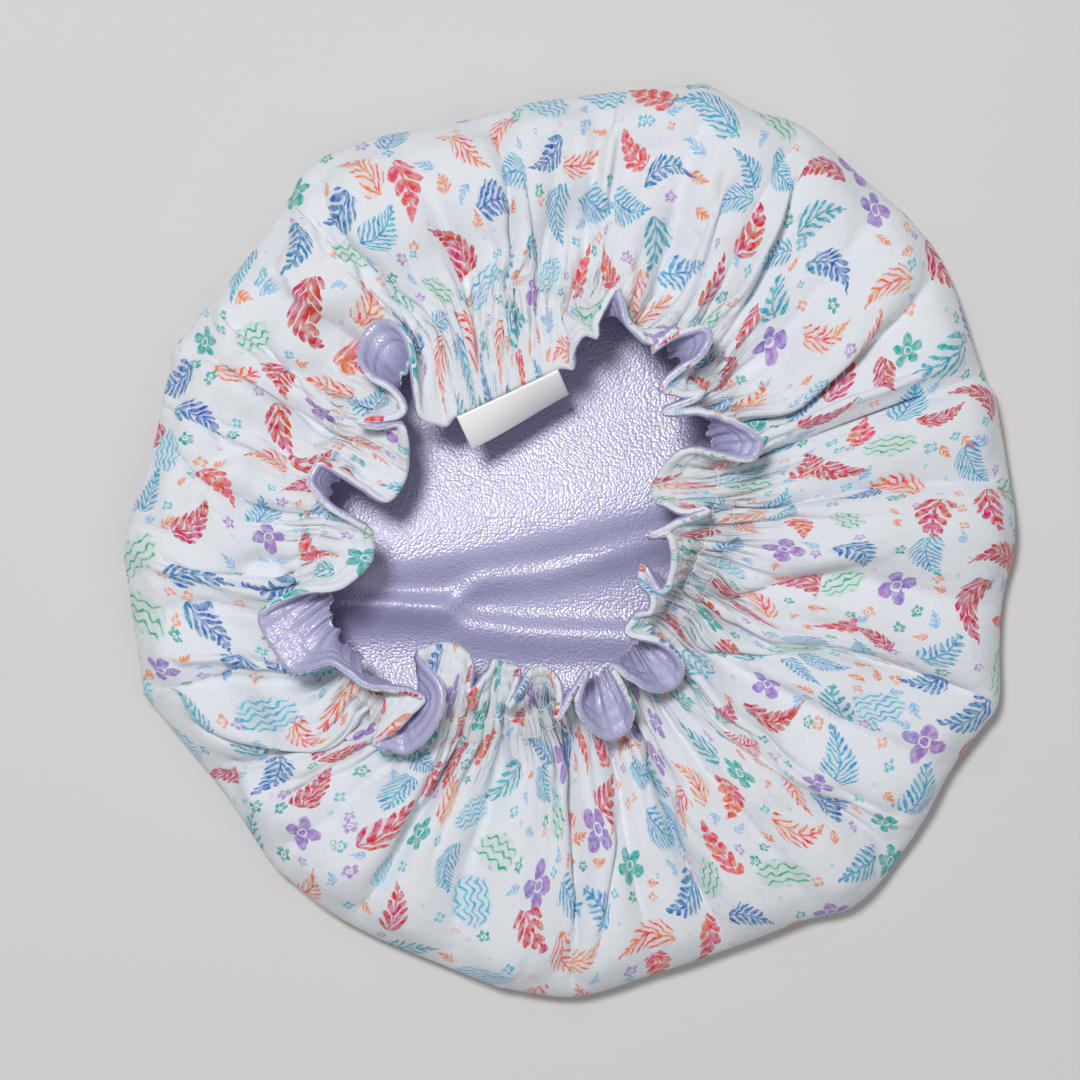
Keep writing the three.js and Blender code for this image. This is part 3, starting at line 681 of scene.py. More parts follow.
def lap_folds(surface):
    """The surface with the lapping cloth drawn over its neighbour along each line."""
    moved = np.zeros(surface.shape)
    eased = np.zeros(surface.shape[:2])
    plan = surface[:, :, :2] / MM
    for pixels, lap, stand in LAPPED_FOLDS:
        line = from_photo(pixels, LAP_HEIGHT) / MM
        length = np.linalg.norm(np.diff(line, axis=0), axis=1)
        nearest = np.full(plan.shape[:2], np.inf)
        aside, along = np.zeros(nearest.shape), np.zeros(nearest.shape)
        square = np.zeros(plan.shape)
        for k, (start, end) in enumerate(zip(line[:-1], line[1:])):
            way = (end - start) / length[k]
            left = np.array([-way[1], way[0]])
            t = np.clip((plan - start) @ way, 0, length[k])
            distance = np.linalg.norm(plan - start - t[..., None] * way, axis=2)
            closer = distance < nearest
            nearest = np.where(closer, distance, nearest)
            aside = np.where(closer, np.sign((plan - start) @ left) * distance * np.sign(lap), aside)
            along = np.where(closer, length[:k].sum() + t, along)
            square[closer] = left * np.sign(lap)
        total = length.sum()
        full = ramp(along, 0, LAP_GROWN * total) * (1 - ramp(along, LAP_FADES * total, total))
        full = full * (nearest < LAP_NEAR)
        over = np.where(aside > 0, np.exp(-(aside / LAP_REACH) ** 2), 1 - ramp(-aside, 0, LAP_TURN))
        moved[:, :, :2] -= square * (abs(lap) * full * over)[..., None]
        ridge = np.exp(-((aside - STAND_AT) / STAND_WIDTH) ** 2)
        hollow = HOLLOW_SHARE * np.exp(-((aside + HOLLOW_AT) / HOLLOW_WIDTH) ** 2)
        moved[:, :, 2] += STAND_MORE * stand * full * (ridge - hollow)
        eased = np.maximum(eased, full * np.exp(-((aside + LAP_TURN / 2) / EASE_WIDTH) ** 2))
    on_top = ramp(cut_grid, *LAPS_BEGIN) * (1 - ramp(cut_grid, *LAPS_END))
    surface = surface + moved * MM * on_top[:, :, None]
    # The lapping edges are evened out, each place towards the middle of its neighbours
    for _ in range(EASE_ROUNDS):
        near = (np.roll(surface, 1, axis=1) + np.roll(surface, -1, axis=1)) / 2
        near[1:-1] = (near[1:-1] + (surface[:-2] + surface[2:]) / 2) / 2
        share = EASE_STEP * np.minimum(1, EASE_REACH * eased * on_top)
        surface = surface + share[:, :, None] * (near - surface)
    return surface


middle = lap_folds(middle)
middle = middle + outward(middle) * (fine_height * fine / 2)[:, :, None]
middle[:, :, 2] = np.maximum(middle[:, :, 2], TOP_PLY)
away = outward(middle)

# What lies between the cloths spreads them: the elastic in the casing, its lapped ends, and the
# seam allowance turned in at the lip.
PLY = 0.35 * MM
ELASTIC_ROOM, LAPPED_ROOM, SEAM_ROOM, BEAD_ROOM = 0.55 * MM, 0.6 * MM, 0.45 * MM, 0.5 * MM
SEAM_ALLOWANCE = 5.5
SEAM_EDGE = LIP_CUT - SEAM_ALLOWANCE
BEAD_GROWS = (LIP_CUT - 2.8, LIP_CUT - 1)
LAP_START = math.radians(226)
LAP_LENGTH = 14 * MM
STITCH_INSET = 0.9
STITCH_CUTS = (CASING_CUT + STITCH_INSET, HEADER_CUT - STITCH_INSET)
PINCHED, OPENED = 0.3, 1.5
ELASTIC_CUT = (CASING_CUT + HEADER_CUT) / 2
LAP_RISES = (8, 3)
in_casing = ramp(cut_grid, STITCH_CUTS[0] - PINCHED, STITCH_CUTS[0] + OPENED) * (
    1 - ramp(cut_grid, STITCH_CUTS[1] - OPENED, STITCH_CUTS[1] + PINCHED))
in_seam = ramp(cut_grid, SEAM_EDGE - 1, SEAM_EDGE)
casing_row = int(np.argmin(np.abs(cuts - ELASTIC_CUT * MM)))
ring_run = np.concatenate([[0], np.cumsum(np.linalg.norm(np.diff(middle[casing_row], axis=0), axis=1))])
lap_first = int(np.argmin(np.abs(root_bearing - LAP_START)))
lap_last = int(np.argmin(np.abs(ring_run - ring_run[lap_first] - LAP_LENGTH)))
far_off, close_by = LAP_RISES
in_lap = ramp(np.arange(AROUND), lap_first - far_off, lap_first - close_by) * (
    1 - ramp(np.arange(AROUND), lap_last + close_by, lap_last + far_off))
in_bead = ramp(cut_grid, *BEAD_GROWS)
spread_apart = PLY + (ELASTIC_ROOM + LAPPED_ROOM * in_lap) * in_casing
spread_apart = spread_apart + SEAM_ROOM * in_seam + BEAD_ROOM * in_bead

ROLL_STEPS = 4
SEAM_GAP = 0.03 * MM


def new_piece(name, points, faces, smooth=True):
    """A piece at the origin, from its points and faces."""
    mesh = bpy.data.meshes.new(name)
    mesh.from_pydata(np.reshape(points, (-1, 3)).tolist(), [], faces)
    if smooth:
        mesh.shade_smooth()
    piece = bpy.data.objects.new(name, mesh)
    bpy.context.scene.collection.objects.link(piece)
    return piece


def lay_out(piece, name, flat):
    """Gives a piece a UV map of its points' places on the flat cloth, in metres."""
    corners = np.empty(len(piece.data.loops), int)
    piece.data.loops.foreach_get("vertex_index", corners)
    piece.data.uv_layers.new(name=name).data.foreach_set("uv", flat[corners].ravel())


def cloth(name, side, kept, ridges=None):
    """One of the two cloths: a net over the kept rows with a fan at the crown's middle, its lip
    rolled over towards the seam. side is 1 for the outer cloth and -1 for the lining."""
    surface = middle + side * away * spread_apart[:, :, None]
    if ridges is not None:
        surface[:, :, 2] += ridges(surface)
    surface = surface[kept]
    along = middle[-1] - middle[-2]
    along /= np.linalg.norm(along, axis=1, keepdims=True)
    roll = spread_apart[-1].mean()
    turns = np.linspace(0, math.pi / 2, ROLL_STEPS + 1)[1:]
    rolled = [middle[-1] + along * roll * math.sin(t) + side * away[-1] * (roll * math.cos(t) + SEAM_GAP)
              for t in turns]
    surface = np.concatenate([surface, np.array(rolled)])
    rows, count = surface.shape[:2]
    index = np.arange(rows * count).reshape(rows, count)
    points = np.vstack([surface.reshape(-1, 3), surface[0].mean(axis=0)])
    fan = np.stack([np.full(count, len(points) - 1), np.roll(index[0], -1), index[0]], axis=-1).tolist()
    faces = squares_between(index) + fan
    if side < 0:
        faces = [face[::-1] for face in faces]
    far = np.concatenate([flat_reach[kept], flat_reach[-1:] + roll * np.sin(turns)[:, None]])
    flat = np.vstack([(far[..., None] * turned(1, flat_bearing)).reshape(-1, 2), [0, 0]])
    piece = new_piece(name, points, faces)
    lay_out(piece, "cut_circle", flat)
    return piece


# The outside is white plain-woven cotton, printed all over with leaf sprigs, ferns, flowers and wavy
# lines as if in watercolour, 14 to 23 mm long and about 21 mm apart, with little ones between.
MOTIF_SPACING = 20.5 * MM
MOTIF_RANDOMNESS = 0.5
FILLER_SPACING = 8 * MM
FILLER_SHIFT = 0.4
BRUSH_WOBBLE = 4.1667 * MM
WOBBLE_REACH = 2.4 * MM
printed_cover = cloth("printed_cotton_cover", 1, np.r_[3:first_body_row:4, first_body_row:len(cuts)])
cotton, weave, cotton_shader = new_material("plain_woven_cotton", "#e9ecf1", 0.85, Sheen_Weight=0.12,
                                            Sheen_Roughness=0.5)
printed_cover.data.materials.append(cotton)
cut_place = node(weave, "UVMap", uv_map="cut_circle")
wobble = node(weave, "TexNoise", {"Vector": cut_place, "Scale": 1 / BRUSH_WOBBLE, "Detail": 3},
              noise_dimensions="2D")
wobble_off = node(weave, "VectorMath", {0: wobble.outputs["Color"], 1: (0.5, 0.5, 0)}, operation="SUBTRACT")
painted_at = node(weave, "VectorMath", [wobble_off, (WOBBLE_REACH, WOBBLE_REACH, 0), cut_place],
                  operation="MULTIPLY_ADD")

# How crisply pens and brushes draw: how fast ink fades over a mm, and how much there is in the middle
PEN_FADES, PEN_FULL = -5, 2.3
LEAF_FADES, LEAF_FULL = -4, 4.6
PETAL_GROWS, PETAL_ROUNDNESS = 2.5, 0.55
EYE_SHARE, EYE_LINE = 0.24, 0.25
OVAL_FADES = 6
LEAF_TAPER, TAPER_POWER, LEAST_TAPER = 1.9, 0.35, 0.01
PEN_WAVES, PEN_WAVE_HEIGHT = 1.5, 0.5
WASH = 0.2


def motif_place(spacing, randomness, shift, smallest, spread):
    """Scatters places: their cells, random colours, and the way from each in mm, turned at random."""
    scaled = node(weave, "VectorMath", [painted_at, (shift, shift, 0)], operation="ADD")
    cells = node(weave, "TexVoronoi", {"Vector": scaled, "Scale": 1 / spacing, "Randomness": randomness},
                 voronoi_dimensions="2D")
    colour = node(weave, "SeparateColor", [cells.outputs["Color"]])
    local = node(weave, "VectorMath", [scaled, cells.outputs["Position"]], operation="SUBTRACT")
    angle = node(weave, "Math", [colour.outputs[0], TURN], operation="MULTIPLY")
    turned_local = node(weave, "VectorRotate", {"Vector": local, "Angle": angle}, rotation_type="Z_AXIS")
    enlarged = node(weave, "Math", [colour.outputs[2], -spread / MM, (smallest + spread) / MM],
                    operation="MULTIPLY_ADD")
    unit = node(weave, "VectorMath", {0: turned_local, "Scale": enlarged}, operation="SCALE")
    return cells, colour, unit


def ring_of_petals(place, petals, reach, notch):
    """A flower in mm: reach at the petals' tips, notch the share of it left between them."""
    parts = node(weave, "SeparateXYZ", [place])
    angle = node(weave, "Math", [parts.outputs[1], parts.outputs[0]], operation="ARCTAN2")
    wave = node(weave, "Math", [angle, petals / 2], operation="MULTIPLY")
    wave = node(weave, "Math", [wave], operation="COSINE")
    wave = node(weave, "Math", [wave], operation="ABSOLUTE")
    lobes = node(weave, "Math", [wave, PETAL_ROUNDNESS], operation="POWER")
    edge = node(weave, "Math", [lobes, reach * (1 - notch), reach * notch], operation="MULTIPLY_ADD")
    radius = node(weave, "VectorMath", [place], operation="LENGTH").outputs["Value"]
    eye = node(weave, "Math", [radius, reach * EYE_SHARE, EYE_LINE], operation="COMPARE")
    inside = node(weave, "Math", [edge, radius], operation="SUBTRACT")
    petal = node(weave, "Math", [inside, PETAL_GROWS], operation="MULTIPLY", use_clamp=True)
    return node(weave, "Math", [petal, eye], operation="SUBTRACT", use_clamp=True)


def leafy_stem(place, half_length, bend, step, slant, leaf, plump):
    """A sprig along x: a bent stem with a pair of slanted leaves at each step, leaf long and plump wide,
    on a pale wash."""
    parts = node(weave, "SeparateXYZ", [place])
    along, aside = parts.outputs[0], parts.outputs[1]
    square = node(weave, "Math", [along, along], operation="MULTIPLY")
    aside = node(weave, "Math", [square, bend, aside], operation="MULTIPLY_ADD")
    off = node(weave, "Math", [aside], operation="ABSOLUTE")
    phase = node(weave, "Math", [off, -slant, along], operation="MULTIPLY_ADD")
    phase = node(weave, "Math", [phase, step], operation="DIVIDE")
    phase = node(weave, "Math", [phase], operation="FRACT")
    across = node(weave, "Math", [phase, 2 * step / plump, -step / plump], operation="MULTIPLY_ADD")
    across = node(weave, "Math", [across, across], operation="MULTIPLY")
    # Leaves are longest a little way up the stem, and shorter towards its tip
    up = node(weave, "Math", [along, 0.5 / half_length, 0.5], operation="MULTIPLY_ADD")
    to_tip = node(weave, "Math", [LEAF_TAPER * leaf, up], operation="MULTIPLY")
    to_tip = node(weave, "Math", [LEAF_TAPER * leaf, to_tip], operation="SUBTRACT")
    taper = node(weave, "Math", [up, TAPER_POWER], operation="POWER")
    taper = node(weave, "Math", [taper, to_tip], operation="MULTIPLY")
    taper = node(weave, "Math", [taper, LEAST_TAPER], operation="MAXIMUM")
    outwards = node(weave, "Math", [off, taper], operation="DIVIDE")
    outwards = node(weave, "Math", [outwards, 2, -1], operation="MULTIPLY_ADD")
    filled = node(weave, "Math", [outwards, outwards, across], operation="MULTIPLY_ADD")
    blade = node(weave, "Math", [filled, LEAF_FADES, LEAF_FULL], operation="MULTIPLY_ADD", use_clamp=True)
    stem = node(weave, "Math", [off, PEN_FADES, PEN_FULL], operation="MULTIPLY_ADD", use_clamp=True)
    room = node(weave, "Math", [taper, off], operation="SUBTRACT", use_clamp=True)
    wash = node(weave, "Math", [room, WASH], operation="MULTIPLY")
    drawn = node(weave, "Math", [blade, stem], operation="MAXIMUM")
    drawn = node(weave, "Math", [drawn, wash], operation="MAXIMUM")
    within = node(weave, "Math", [square, half_length ** 2], operation="LESS_THAN")
    return node(weave, "Math", [drawn, within], operation="MULTIPLY")


def wavy_lines(place, pitch, length, width):
    """A bundle of wavy pen strokes in an oval of pale wash."""
    parts = node(weave, "SeparateXYZ", [place])
    along, aside = parts.outputs[0], parts.outputs[1]
    wave = node(weave, "Math", [along, PEN_WAVES], operation="MULTIPLY")
    wave = node(weave, "Math", [wave], operation="SINE")
    line = node(weave, "Math", [wave, PEN_WAVE_HEIGHT, aside], operation="MULTIPLY_ADD")
    line = node(weave, "Math", [line, pitch], operation="PINGPONG")
    line = node(weave, "Math", [line, PEN_FADES, PEN_FULL], operation="MULTIPLY_ADD", use_clamp=True)
    line = node(weave, "Math", [line, WASH], operation="MAXIMUM")
    flattened = node(weave, "VectorMath", [place, (2 / length, 2 / width, 0)], operation="MULTIPLY")
    off = node(weave, "VectorMath", [flattened], operation="LENGTH").outputs["Value"]
    oval = node(weave, "Math", [off, -OVAL_FADES, OVAL_FADES], operation="MULTIPLY_ADD", use_clamp=True)
    return node(weave, "Math", [line, oval], operation="MULTIPLY")


def chosen_of(shapes, pick):
    """Picks one of a row of shapes, in even steps of a random number."""
    chosen = shapes[0]
    for number, shape in enumerate(shapes[1:], 1):
        past = node(weave, "Math", [pick, number / len(shapes)], operation="GREATER_THAN")
        chosen = node(weave, "Mix", {0: past, 2: chosen, 3: shape})
    return chosen


def ink(stops, pick):
    """Picks one of a row of inks, in even steps of a random number."""
    chosen = node(weave, "ValToRGB", [pick])
    chosen.color_ramp.interpolation = "CONSTANT"
    while len(chosen.color_ramp.elements) < len(stops):
        chosen.color_ramp.elements.new(1)
    for number, (element, colour) in enumerate(zip(chosen.color_ramp.elements, stops)):
        element.position = number / len(stops)
        element.color = linear(colour)
    return chosen.outputs[0]


MOTIF_INKS = ["#d23545", "#2fa0cb", "#4bb9d6", "#e5554c", "#22aca6", "#2377b8", "#c93a55", "#2fae80",
              "#ee7038", "#a079c6", "#1ba2b8", "#3f9fca"]
# Shares of a motif's own room: how far it may reach, and from where the little ones begin
MOTIF_CLEAR, FILLER_CLEAR = 0.56, 0.47
INK_DRIFT_SIZE = 9.0909 * MM
INK_DRIFT = (0.472, 0.526)
cells, colour, place = motif_place(MOTIF_SPACING, MOTIF_RANDOMNESS, shift=0, smallest=0.68, spread=0.33)
pick = colour.outputs[1]
# Sizes are in mm. A sprig's bend is per mm, and its slant and a flower's notch are ratios.
painted = chosen_of([
    leafy_stem(place, 8.6, 0.03, 4.1, 1.2, 5.6, 3.1),
    leafy_stem(place, 9.0, 0.04, 2.0, 1.2, 6.2, 1.0),
    wavy_lines(place, 0.95, 17, 11),
    leafy_stem(place, 8.2, -0.035, 3.6, 0.7, 4.8, 3.2),
    ring_of_petals(place, 5, 5.6, 0.3),
    leafy_stem(place, 8.8, -0.05, 2.6, 1.0, 5.6, 1.8),
    leafy_stem(place, 8.4, 0.05, 2.9, 1.5, 4.4, 2.5),
    wavy_lines(place, 1.25, 16, 10),
    leafy_stem(place, 8.6, 0.045, 3.4, 1.6, 5.2, 1.3),
    ring_of_petals(place, 4, 6.0, 0.2),
    leafy_stem(place, 9.0, -0.03, 3.9, 1.3, 6.4, 2.0),
    leafy_stem(place, 8.0, 0.02, 2.0, 0.8, 5.0, 1.1),
], pick)
clear_of_edge = node(weave, "Math", [cells.outputs["Distance"], MOTIF_CLEAR], operation="LESS_THAN")
painted = node(weave, "Math", [painted, clear_of_edge], operation="MULTIPLY")
drift = node(weave, "TexNoise", {"Vector": cut_place, "Scale": 1 / INK_DRIFT_SIZE, "Detail": 1},
             noise_dimensions="2D")
drift = node(weave, "MapRange", [drift, 0.3, 0.7, *INK_DRIFT])
motif_ink = node(weave, "HueSaturation", {"Hue": drift, "Saturation": 1.05, "Color": ink(MOTIF_INKS, pick)})

FILLER_INKS = ["#f0a07a", "#5fbfd0", "#e494a6", "#35b5ac", "#8fbfe6", "#f08a55", "#2aa9a0", "#b88fd2"]
small_cells, small_colour, small_place = motif_place(FILLER_SPACING, randomness=0.8, shift=FILLER_SHIFT,
                                                     smallest=0.8, spread=0.5)
small_pick = small_colour.outputs[1]
small_at = node(weave, "VectorMath", [small_cells.outputs["Position"], (FILLER_SHIFT, FILLER_SHIFT, 0)],
                operation="SUBTRACT")
room = node(weave, "TexVoronoi", {"Vector": small_at, "Scale": 1 / MOTIF_SPACING,
                                  "Randomness": MOTIF_RANDOMNESS}, voronoi_dimensions="2D")
in_gap = node(weave, "Math", [room.outputs["Distance"], FILLER_CLEAR], operation="GREATER_THAN")
small_shape = chosen_of([ring_of_petals(small_place, 4, 2.3, 0.3), ring_of_petals(small_place, 2, 0.9, 1),
                         leafy_stem(small_place, 3.0, 0.05, 1.7, 1.0, 2.2, 1.0),
                         ring_of_petals(small_place, 5, 2.5, 0.35)], small_pick)
small_painted = node(weave, "Math", [small_shape, in_gap], operation="MULTIPLY")

# Watercolour is paler where it is thin, and darker where it dried. The cotton has slubs.
WASH_GRAIN = 2.381 * MM
SLUB_WIDTH = 1.1111 * MM
wash = node(weave, "TexNoise", {"Vector": cut_place, "Scale": 1 / WASH_GRAIN, "Detail": 3, "Roughness": 0.6},
            noise_dimensions="2D")
wash_strength = node(weave, "MapRange", [wash, 0.32, 0.64, 0.55, 1])
motif_strength = node(weave, "Math", [painted, wash_strength], operation="MULTIPLY")
small_strength = node(weave, "Math", [small_painted, wash_strength], operation="MULTIPLY")
slub = node(weave, "TexNoise", {"Vector": cut_place, "Scale": 1 / SLUB_WIDTH, "Detail": 4},
            noise_dimensions="2D")
undyed = node(weave, "Mix", {0: slub, 6: linear("#eaedf2"), 7: linear("#dfe3e9")}, data_type="RGBA")
with_small = node(weave, "Mix", {0: small_strength, 6: undyed.outputs[2], 7: ink(FILLER_INKS, small_pick)},
                  data_type="RGBA")
with_print = node(weave, "Mix", {0: motif_strength, 6: with_small.outputs[2], 7: motif_ink}, data_type="RGBA")
weave.links.new(with_print.outputs[2], cotton_shader.inputs["Base Color"])

# Plain weave is matt and finely ribbed both ways. Its threads lie 0.35 mm apart, drawn twice as coarse
# so that they just show. A wave texture runs through 20 radians over a metre at a scale of 1.
THREAD_PITCH = 0.7 * MM
CRUMPLE_WIDTH = 7.6923 * MM
WAVE_RADIANS = 20
thread_wave = {"Vector": cut_place, "Scale": TURN / THREAD_PITCH / WAVE_RADIANS, "Distortion": 0.4}
warp = node(weave, "TexWave", thread_wave)
weft = node(weave, "TexWave", thread_wave, bands_direction="Y")
threads = node(weave, "Math", [warp.outputs[1], weft.outputs[1]], operation="ADD")
thread_bump = node(weave, "Bump", {"Height": threads, "Distance": 0.06 * MM, "Strength": 0.6})
crumple = node(weave, "TexNoise", {"Vector": cut_place, "Scale": 1 / CRUMPLE_WIDTH, "Detail": 3,
                                   "Roughness": 0.45}, noise_dimensions="2D")
crumple_bump = node(weave, "Bump", {"Height": crumple, "Distance": 1.1 * MM, "Strength": 0.55,
                                    "Normal": thread_bump})


PUCKER_WIDTH = 5 * MM
PUCKER_LONG = 0.25
PUCKER_DEPTH = 4 * MM
PUCKERS_FROM, PUCKERS_TO = (CASING_CUT - 20) * MM, (HEADER_CUT + 10) * MM
HEADER_PUCKERS = 0.12


def gathers(tree, flat_place, below):
    """The casing's finest puckers, as a bump: about 1.5 mm apart when drawn in, so 5 mm when flat."""
    from_middle = node(tree, "VectorMath", [flat_place], operation="LENGTH").outputs["Value"]
    way_out = node(tree, "VectorMath", [flat_place], operation="NORMALIZE")
    shortened = node(tree, "Math", [from_middle, PUCKER_LONG], operation="MULTIPLY")
    lengthwise = node(tree, "CombineXYZ", {2: shortened})
    pucker_at = node(tree, "VectorMath", [way_out, (CASING_CUT * MM,) * 3, lengthwise],
                     operation="MULTIPLY_ADD")
    puckers = node(tree, "TexNoise", {"Vector": pucker_at, "Scale": 1 / PUCKER_WIDTH, "Detail": 1.5})
    begins = node(tree, "MapRange", [from_middle, PUCKERS_FROM, CASING_CUT * MM, 0, 1])
    ends = node(tree, "MapRange", [from_middle, HEADER_CUT * MM, PUCKERS_TO, 1, HEADER_PUCKERS])
    strength = node(tree, "Math", [begins, ends], operation="MULTIPLY")
    height = node(tree, "Math", [puckers, strength], operation="MULTIPLY")
    return node(tree, "Bump", {"Height": height, "Distance": PUCKER_DEPTH, "Strength": 1, "Normal": below})


weave.links.new(gathers(weave, cut_place, crumple_bump).outputs[0], cotton_shader.inputs["Normal"])
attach(printed_cover, "cap")
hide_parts("outer_fabric")

# The lining is a lilac cloth with a waterproof coat, glossy and grained like leather. Loose in the
# bag, it lies on the crown in low soft ridges, each with its crest read off the photograph: pixels,
# height, and how wide its far and near sides are in mm. Its rows are closest there.
RIDGES = [
    ([(330, 590), (386, 562), (480, 546), (560, 528), (650, 508), (720, 492)], 6.0, 30, 10),
    ([(330, 603), (443, 607), (478, 582), (547, 574), (592, 562), (660, 540), (720, 520)], 2.4, 4, 5.5),
    ([(330, 603), (443, 608), (468, 624), (524, 631), (640, 636), (700, 632)], 2.8, 4, 7.5),
    ([(330, 700), (400, 712), (520, 718), (640, 706), (720, 690)], 3.8, 11, 12),
]
RIDGES_END = 100
RIDGE_FADES = (20 * MM, 15 * MM)
GRAIN = 0.95 * MM
GRAIN_CHANGES = 2 * MM
LILAC_PATCH = 25 * MM


def lining_ridges(surface):
    """How far the lining stands up in its ridges, over each place of a surface."""
    east, north = surface[:, :, 0], surface[:, :, 1]
    total = np.zeros(east.shape)
    for crest, height, ahead, behind in RIDGES:
        line = from_photo(crest, 0)
        level = np.interp(east, line[:, 0], line[:, 1])
        outside, inside = RIDGE_FADES
        fade = ramp(east, line[0, 0] - outside, line[0, 0] + inside) * (
            1 - ramp(east, line[-1, 0] - inside, line[-1, 0] + outside))
        distance = (north - level) / MM
        width = np.where(distance > 0, ahead, behind)
        total += height * MM * fade * np.exp(-(distance / width) ** 2)
    return total * (1 - ramp(cuts[:, None], RIDGES_END * MM, CROWN_CUT * MM))


lining = cloth("coated_lining_cloth", -1,
               np.r_[:first_body_row, first_body_row + 1:first_casing_row:2, first_casing_row:len(cuts)],
               lining_ridges)
# The coat is a smooth gloss film, and its glints break up on the pebbles of its grain
coated, coat, coat_shader = new_material("lilac_coated_cloth", "#adaad0", 0.36, Coat_Weight=1,
                                         Coat_Roughness=0.32, Coat_IOR=1.6, Specular_IOR_Level=0.65)
lining.data.materials.append(coated)
coat_place = node(coat, "UVMap", uv_map="cut_circle")
grain = node(coat, "TexVoronoi", {"Vector": coat_place, "Scale": 1 / GRAIN, "Smoothness": 0.35},
             voronoi_dimensions="2D", feature="SMOOTH_F1")
grain_size = node(coat, "TexNoise", {"Vector": coat_place, "Scale": 1 / GRAIN_CHANGES, "Detail": 4},
                  noise_dimensions="2D")
pebbles = node(coat, "Math", [grain, -1, grain_size], operation="MULTIPLY_ADD")
grain_bump = node(coat, "Bump", {"Height": pebbles, "Distance": 0.125 * MM, "Strength": 1})
grain_bump = gathers(coat, coat_place, grain_bump)
coat.links.new(grain_bump.outputs[0], coat_shader.inputs["Normal"])
coat.links.new(grain_bump.outputs[0], coat_shader.inputs["Coat Normal"])
patches = node(coat, "TexNoise", {"Vector": coat_place, "Scale": 1 / LILAC_PATCH, "Detail": 3},
               noise_dimensions="2D")
lilac = node(coat, "Mix", {0: patches, 6: linear("#a8a5cc"), 7: linear("#b3b0d4")}, data_type="RGBA")
coat.links.new(lilac.outputs[2], coat_shader.inputs["Base Color"])
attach(lining, "cap")
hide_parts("lining")


# Two rows of lockstitch close the casing. Each is a needle thread over the cotton and a bobbin
# thread over the lining, in stitches 3 mm long that dip into the cloth at their ends.
def surface_at(where, level):
    """A place on the middle surface at a row and sample, both with their parts, a level out of it."""
    row_low = np.floor(where[0]).astype(int)
    part = where[0] - row_low
    low = np.floor(where[1]).astype(int)
    share = (where[1] - low)[..., None]
    points = 0
    for number, weight in ((row_low, 1 - part), (np.minimum(row_low + 1, len(cuts) - 1), part)):
        for k, rest in ((low % AROUND, 1 - share), ((low + 1) % AROUND, share)):
            place = middle[number, k] + away[number, k] * level[..., None]
            points = points + weight[..., None] * rest * place
    return points


THREAD = 0.4 * MM
STITCH = 3 * MM
STITCH_SIDES = 6
STITCH_STEPS = 5
END_TAPER = 0.45
STITCH_GAP = 0.06
LIES_OUT, DIPS_IN = 0.35, 0.9
TWIST = 0.4 * MM


def thread_piece(name, line, up, covers):
    """Stitches as closed tubes, one for each row of points in line, thinner at their ends."""
    number, steps = line.shape[:2]
    forward = np.gradient(line, axis=1)
    forward /= np.linalg.norm(forward, axis=2, keepdims=True)
    aside = np.cross(forward, up)
    aside /= np.linalg.norm(aside, axis=2, keepdims=True)
    up = np.cross(aside, forward)
    turns = np.arange(STITCH_SIDES)[:, None] / STITCH_SIDES * TURN
    ends = np.abs(np.linspace(-1, 1, steps))[:, None, None]
    thickness = THREAD / 2 * (1 - END_TAPER * ends ** 4)
    round_it = aside[:, :, None] * np.cos(turns) + up[:, :, None] * np.sin(turns)
    rings = line[:, :, None] + thickness * round_it
    index = np.arange(number * steps * STITCH_SIDES).reshape(number, steps, STITCH_SIDES)
    faces = []
    for stitch in index:
        faces += squares_between(stitch)
        faces += [stitch[0][::-1].tolist(), stitch[-1].tolist()]
    piece = new_piece(name, rings, faces)
    piece.data.materials.append(thread_material)
    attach(piece, "cap")
    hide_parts(covers)
    return piece


def stitches_round(cut, length):
    """Sample numbers along each of a round of stitches, at a distance from the cut circle's middle."""
    number = int(round(TURN * cut * MM / length))
    run = np.append(flat_bearing, flat_bearing[0] + TURN) - flat_bearing[0]
    edges = np.interp(np.arange(number + 1) / number * TURN, run, np.arange(AROUND + 1))
    along = np.linspace(STITCH_GAP, 1 - STITCH_GAP, STITCH_STEPS)
    return edges[:-1, None] + np.diff(edges)[:, None] * along


def stitch_row(name, cut, side, covers):
    """A row of stitches on one cloth, side 1 for the outer one."""
    at = stitches_round(cut, STITCH)
    row_at = np.full(at.shape, np.interp(cut, cuts / MM, np.arange(len(cuts))))
    ends = np.abs(np.linspace(-1, 1, STITCH_STEPS))
    level = spread_apart[int(round(row_at[0, 0]))].mean() + THREAD * (LIES_OUT - DIPS_IN * ends ** 4)
    level = side * np.broadcast_to(level, at.shape)
    line = surface_at((row_at, at), level)
    return thread_piece(name, line, surface_at((row_at, at), level + side * THREAD) - line, covers)


# Spun thread is matt and uneven from its twist
thread_material, thread_tree, thread_shader = new_material("spun_polyester_thread", "#f1f1f0", 0.6)
thread_place = node(thread_tree, "TexCoord").outputs["Object"]
twist = node(thread_tree, "TexNoise", {"Vector": thread_place, "Scale": 1 / TWIST, "Detail": 2})
twist_bump = node(thread_tree, "Bump", {"Height": twist, "Distance": 0.1 * MM, "Strength": 0.5})
thread_tree.links.new(twist_bump.outputs[0], thread_shader.inputs["Normal"])
stitching = [
    stitch_row("casing_body_needle_stitches", STITCH_CUTS[0], 1, "casing_body_needle_thread"),
    stitch_row("casing_body_bobbin_stitches", STITCH_CUTS[0], -1, "casing_body_bobbin_thread"),
    stitch_row("casing_header_needle_stitches", STITCH_CUTS[1], 1, "casing_header_needle_thread"),
    stitch_row("casing_header_bobbin_stitches", STITCH_CUTS[1], -1, "casing_header_bobbin_thread"),
]


